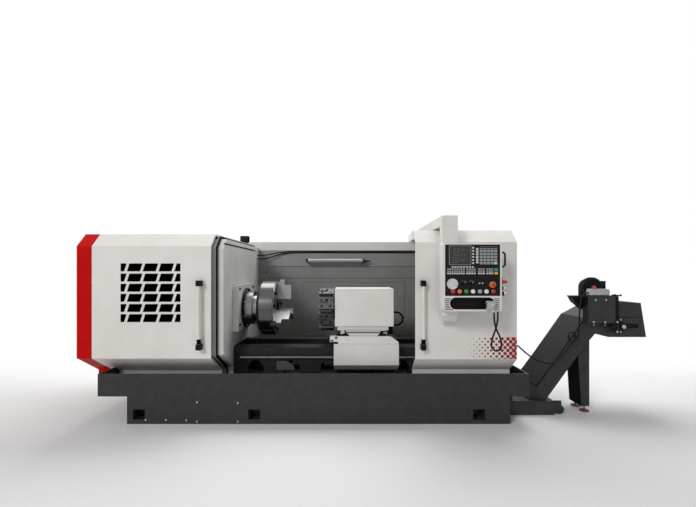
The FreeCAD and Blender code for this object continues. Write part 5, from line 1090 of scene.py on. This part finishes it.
def studio_floor():
    """A pale floor that fades to white behind the machine."""
    mesh = bpy.data.meshes.new("floor")
    mesh.from_pydata([(-FLOOR_REACH, -FLOOR_REACH, 0), (FLOOR_REACH, -FLOOR_REACH, 0),
                      (FLOOR_REACH, FLOOR_REACH, 0), (-FLOOR_REACH, FLOOR_REACH, 0)], [],
                     [(0, 1, 2, 3)])
    floor = bpy.data.objects.new("floor", mesh)
    bpy.context.collection.objects.link(floor)
    material, tree, surface, place = new_material("studio_floor", Roughness=0.6)
    split = add(tree, "ShaderNodeSeparateXYZ", links={"Vector": place})
    fade = add(tree, "ShaderNodeMapRange", {"From Min": -2.6, "From Max": 3.0},
               {"Value": split.outputs["Y"]})
    tint(tree, surface, fade.outputs[0], "#DADADA", "#FFFFFF")
    away = add(tree, "ShaderNodeMapRange", {"interpolation_type": "SMOOTHSTEP",
                                            "From Min": -0.1, "From Max": 1.9},
               {"Value": split.outputs["Y"]})
    white = add(tree, "ShaderNodeEmission", {"Color": (1, 1, 1, 1), "Strength": 1.0})
    share = add(tree, "ShaderNodeMath", {"operation": "MULTIPLY"},
                {0: away.outputs[0], 1: seen_directly(tree)})
    mixed = add(tree, "ShaderNodeMixShader", links={0: share.outputs[0],
                                                    1: surface.outputs[0],
                                                    2: white.outputs[0]})
    out = next(n for n in tree.nodes if n.type == "OUTPUT_MATERIAL")
    tree.links.new(mixed.outputs[0], out.inputs["Surface"])
    mesh.materials.append(material)


def studio():
    """The floor, a white world that lights dimly, and two softboxes."""
    scene = bpy.context.scene
    scene.view_settings.view_transform = "Standard"
    studio_floor()
    scene.world = bpy.data.worlds.new("studio")
    scene.world.use_nodes = True
    tree = scene.world.node_tree
    tree.nodes.clear()
    strength = add(tree, "ShaderNodeMapRange", {"To Min": AMBIENT, "To Max": 1.0},
                   {"Value": seen_directly(tree)})
    sky = add(tree, "ShaderNodeBackground", {"Color": (1, 1, 1, 1)},
              {"Strength": strength.outputs[0]})
    add(tree, "ShaderNodeOutputWorld", links={"Surface": sky.outputs[0]})
    place_lamp("top_softbox", (0.6, 1.8, 5.6), (0.6, 0.0, 0.8), (7.5, 2.6), 340.0)
    place_lamp("key_softbox", (-6.5, -11.0, 8.0), (0.2, -0.4, 1.0), (3.0, 3.0), 800.0)


# ---------------------------------------------------------------- build

place_camera()
finish_nodes()
pulse_cord()
motor_cord()
panel_keys()
panel_screen()
panel_lamps()
tray_liner()
box_vents()
box_side()
pulse_face()
nose_details()
seal_retainer()
chuck_details()
turret_details()
slide_details()
way_details()
pedestal_screws()
sill_sheets()
wall_details()
vent_filter()
handle_ferrules()
gearmotor_details()
guard_details()
leg_details()

bpy.data.objects.remove(HEAD)
studio()
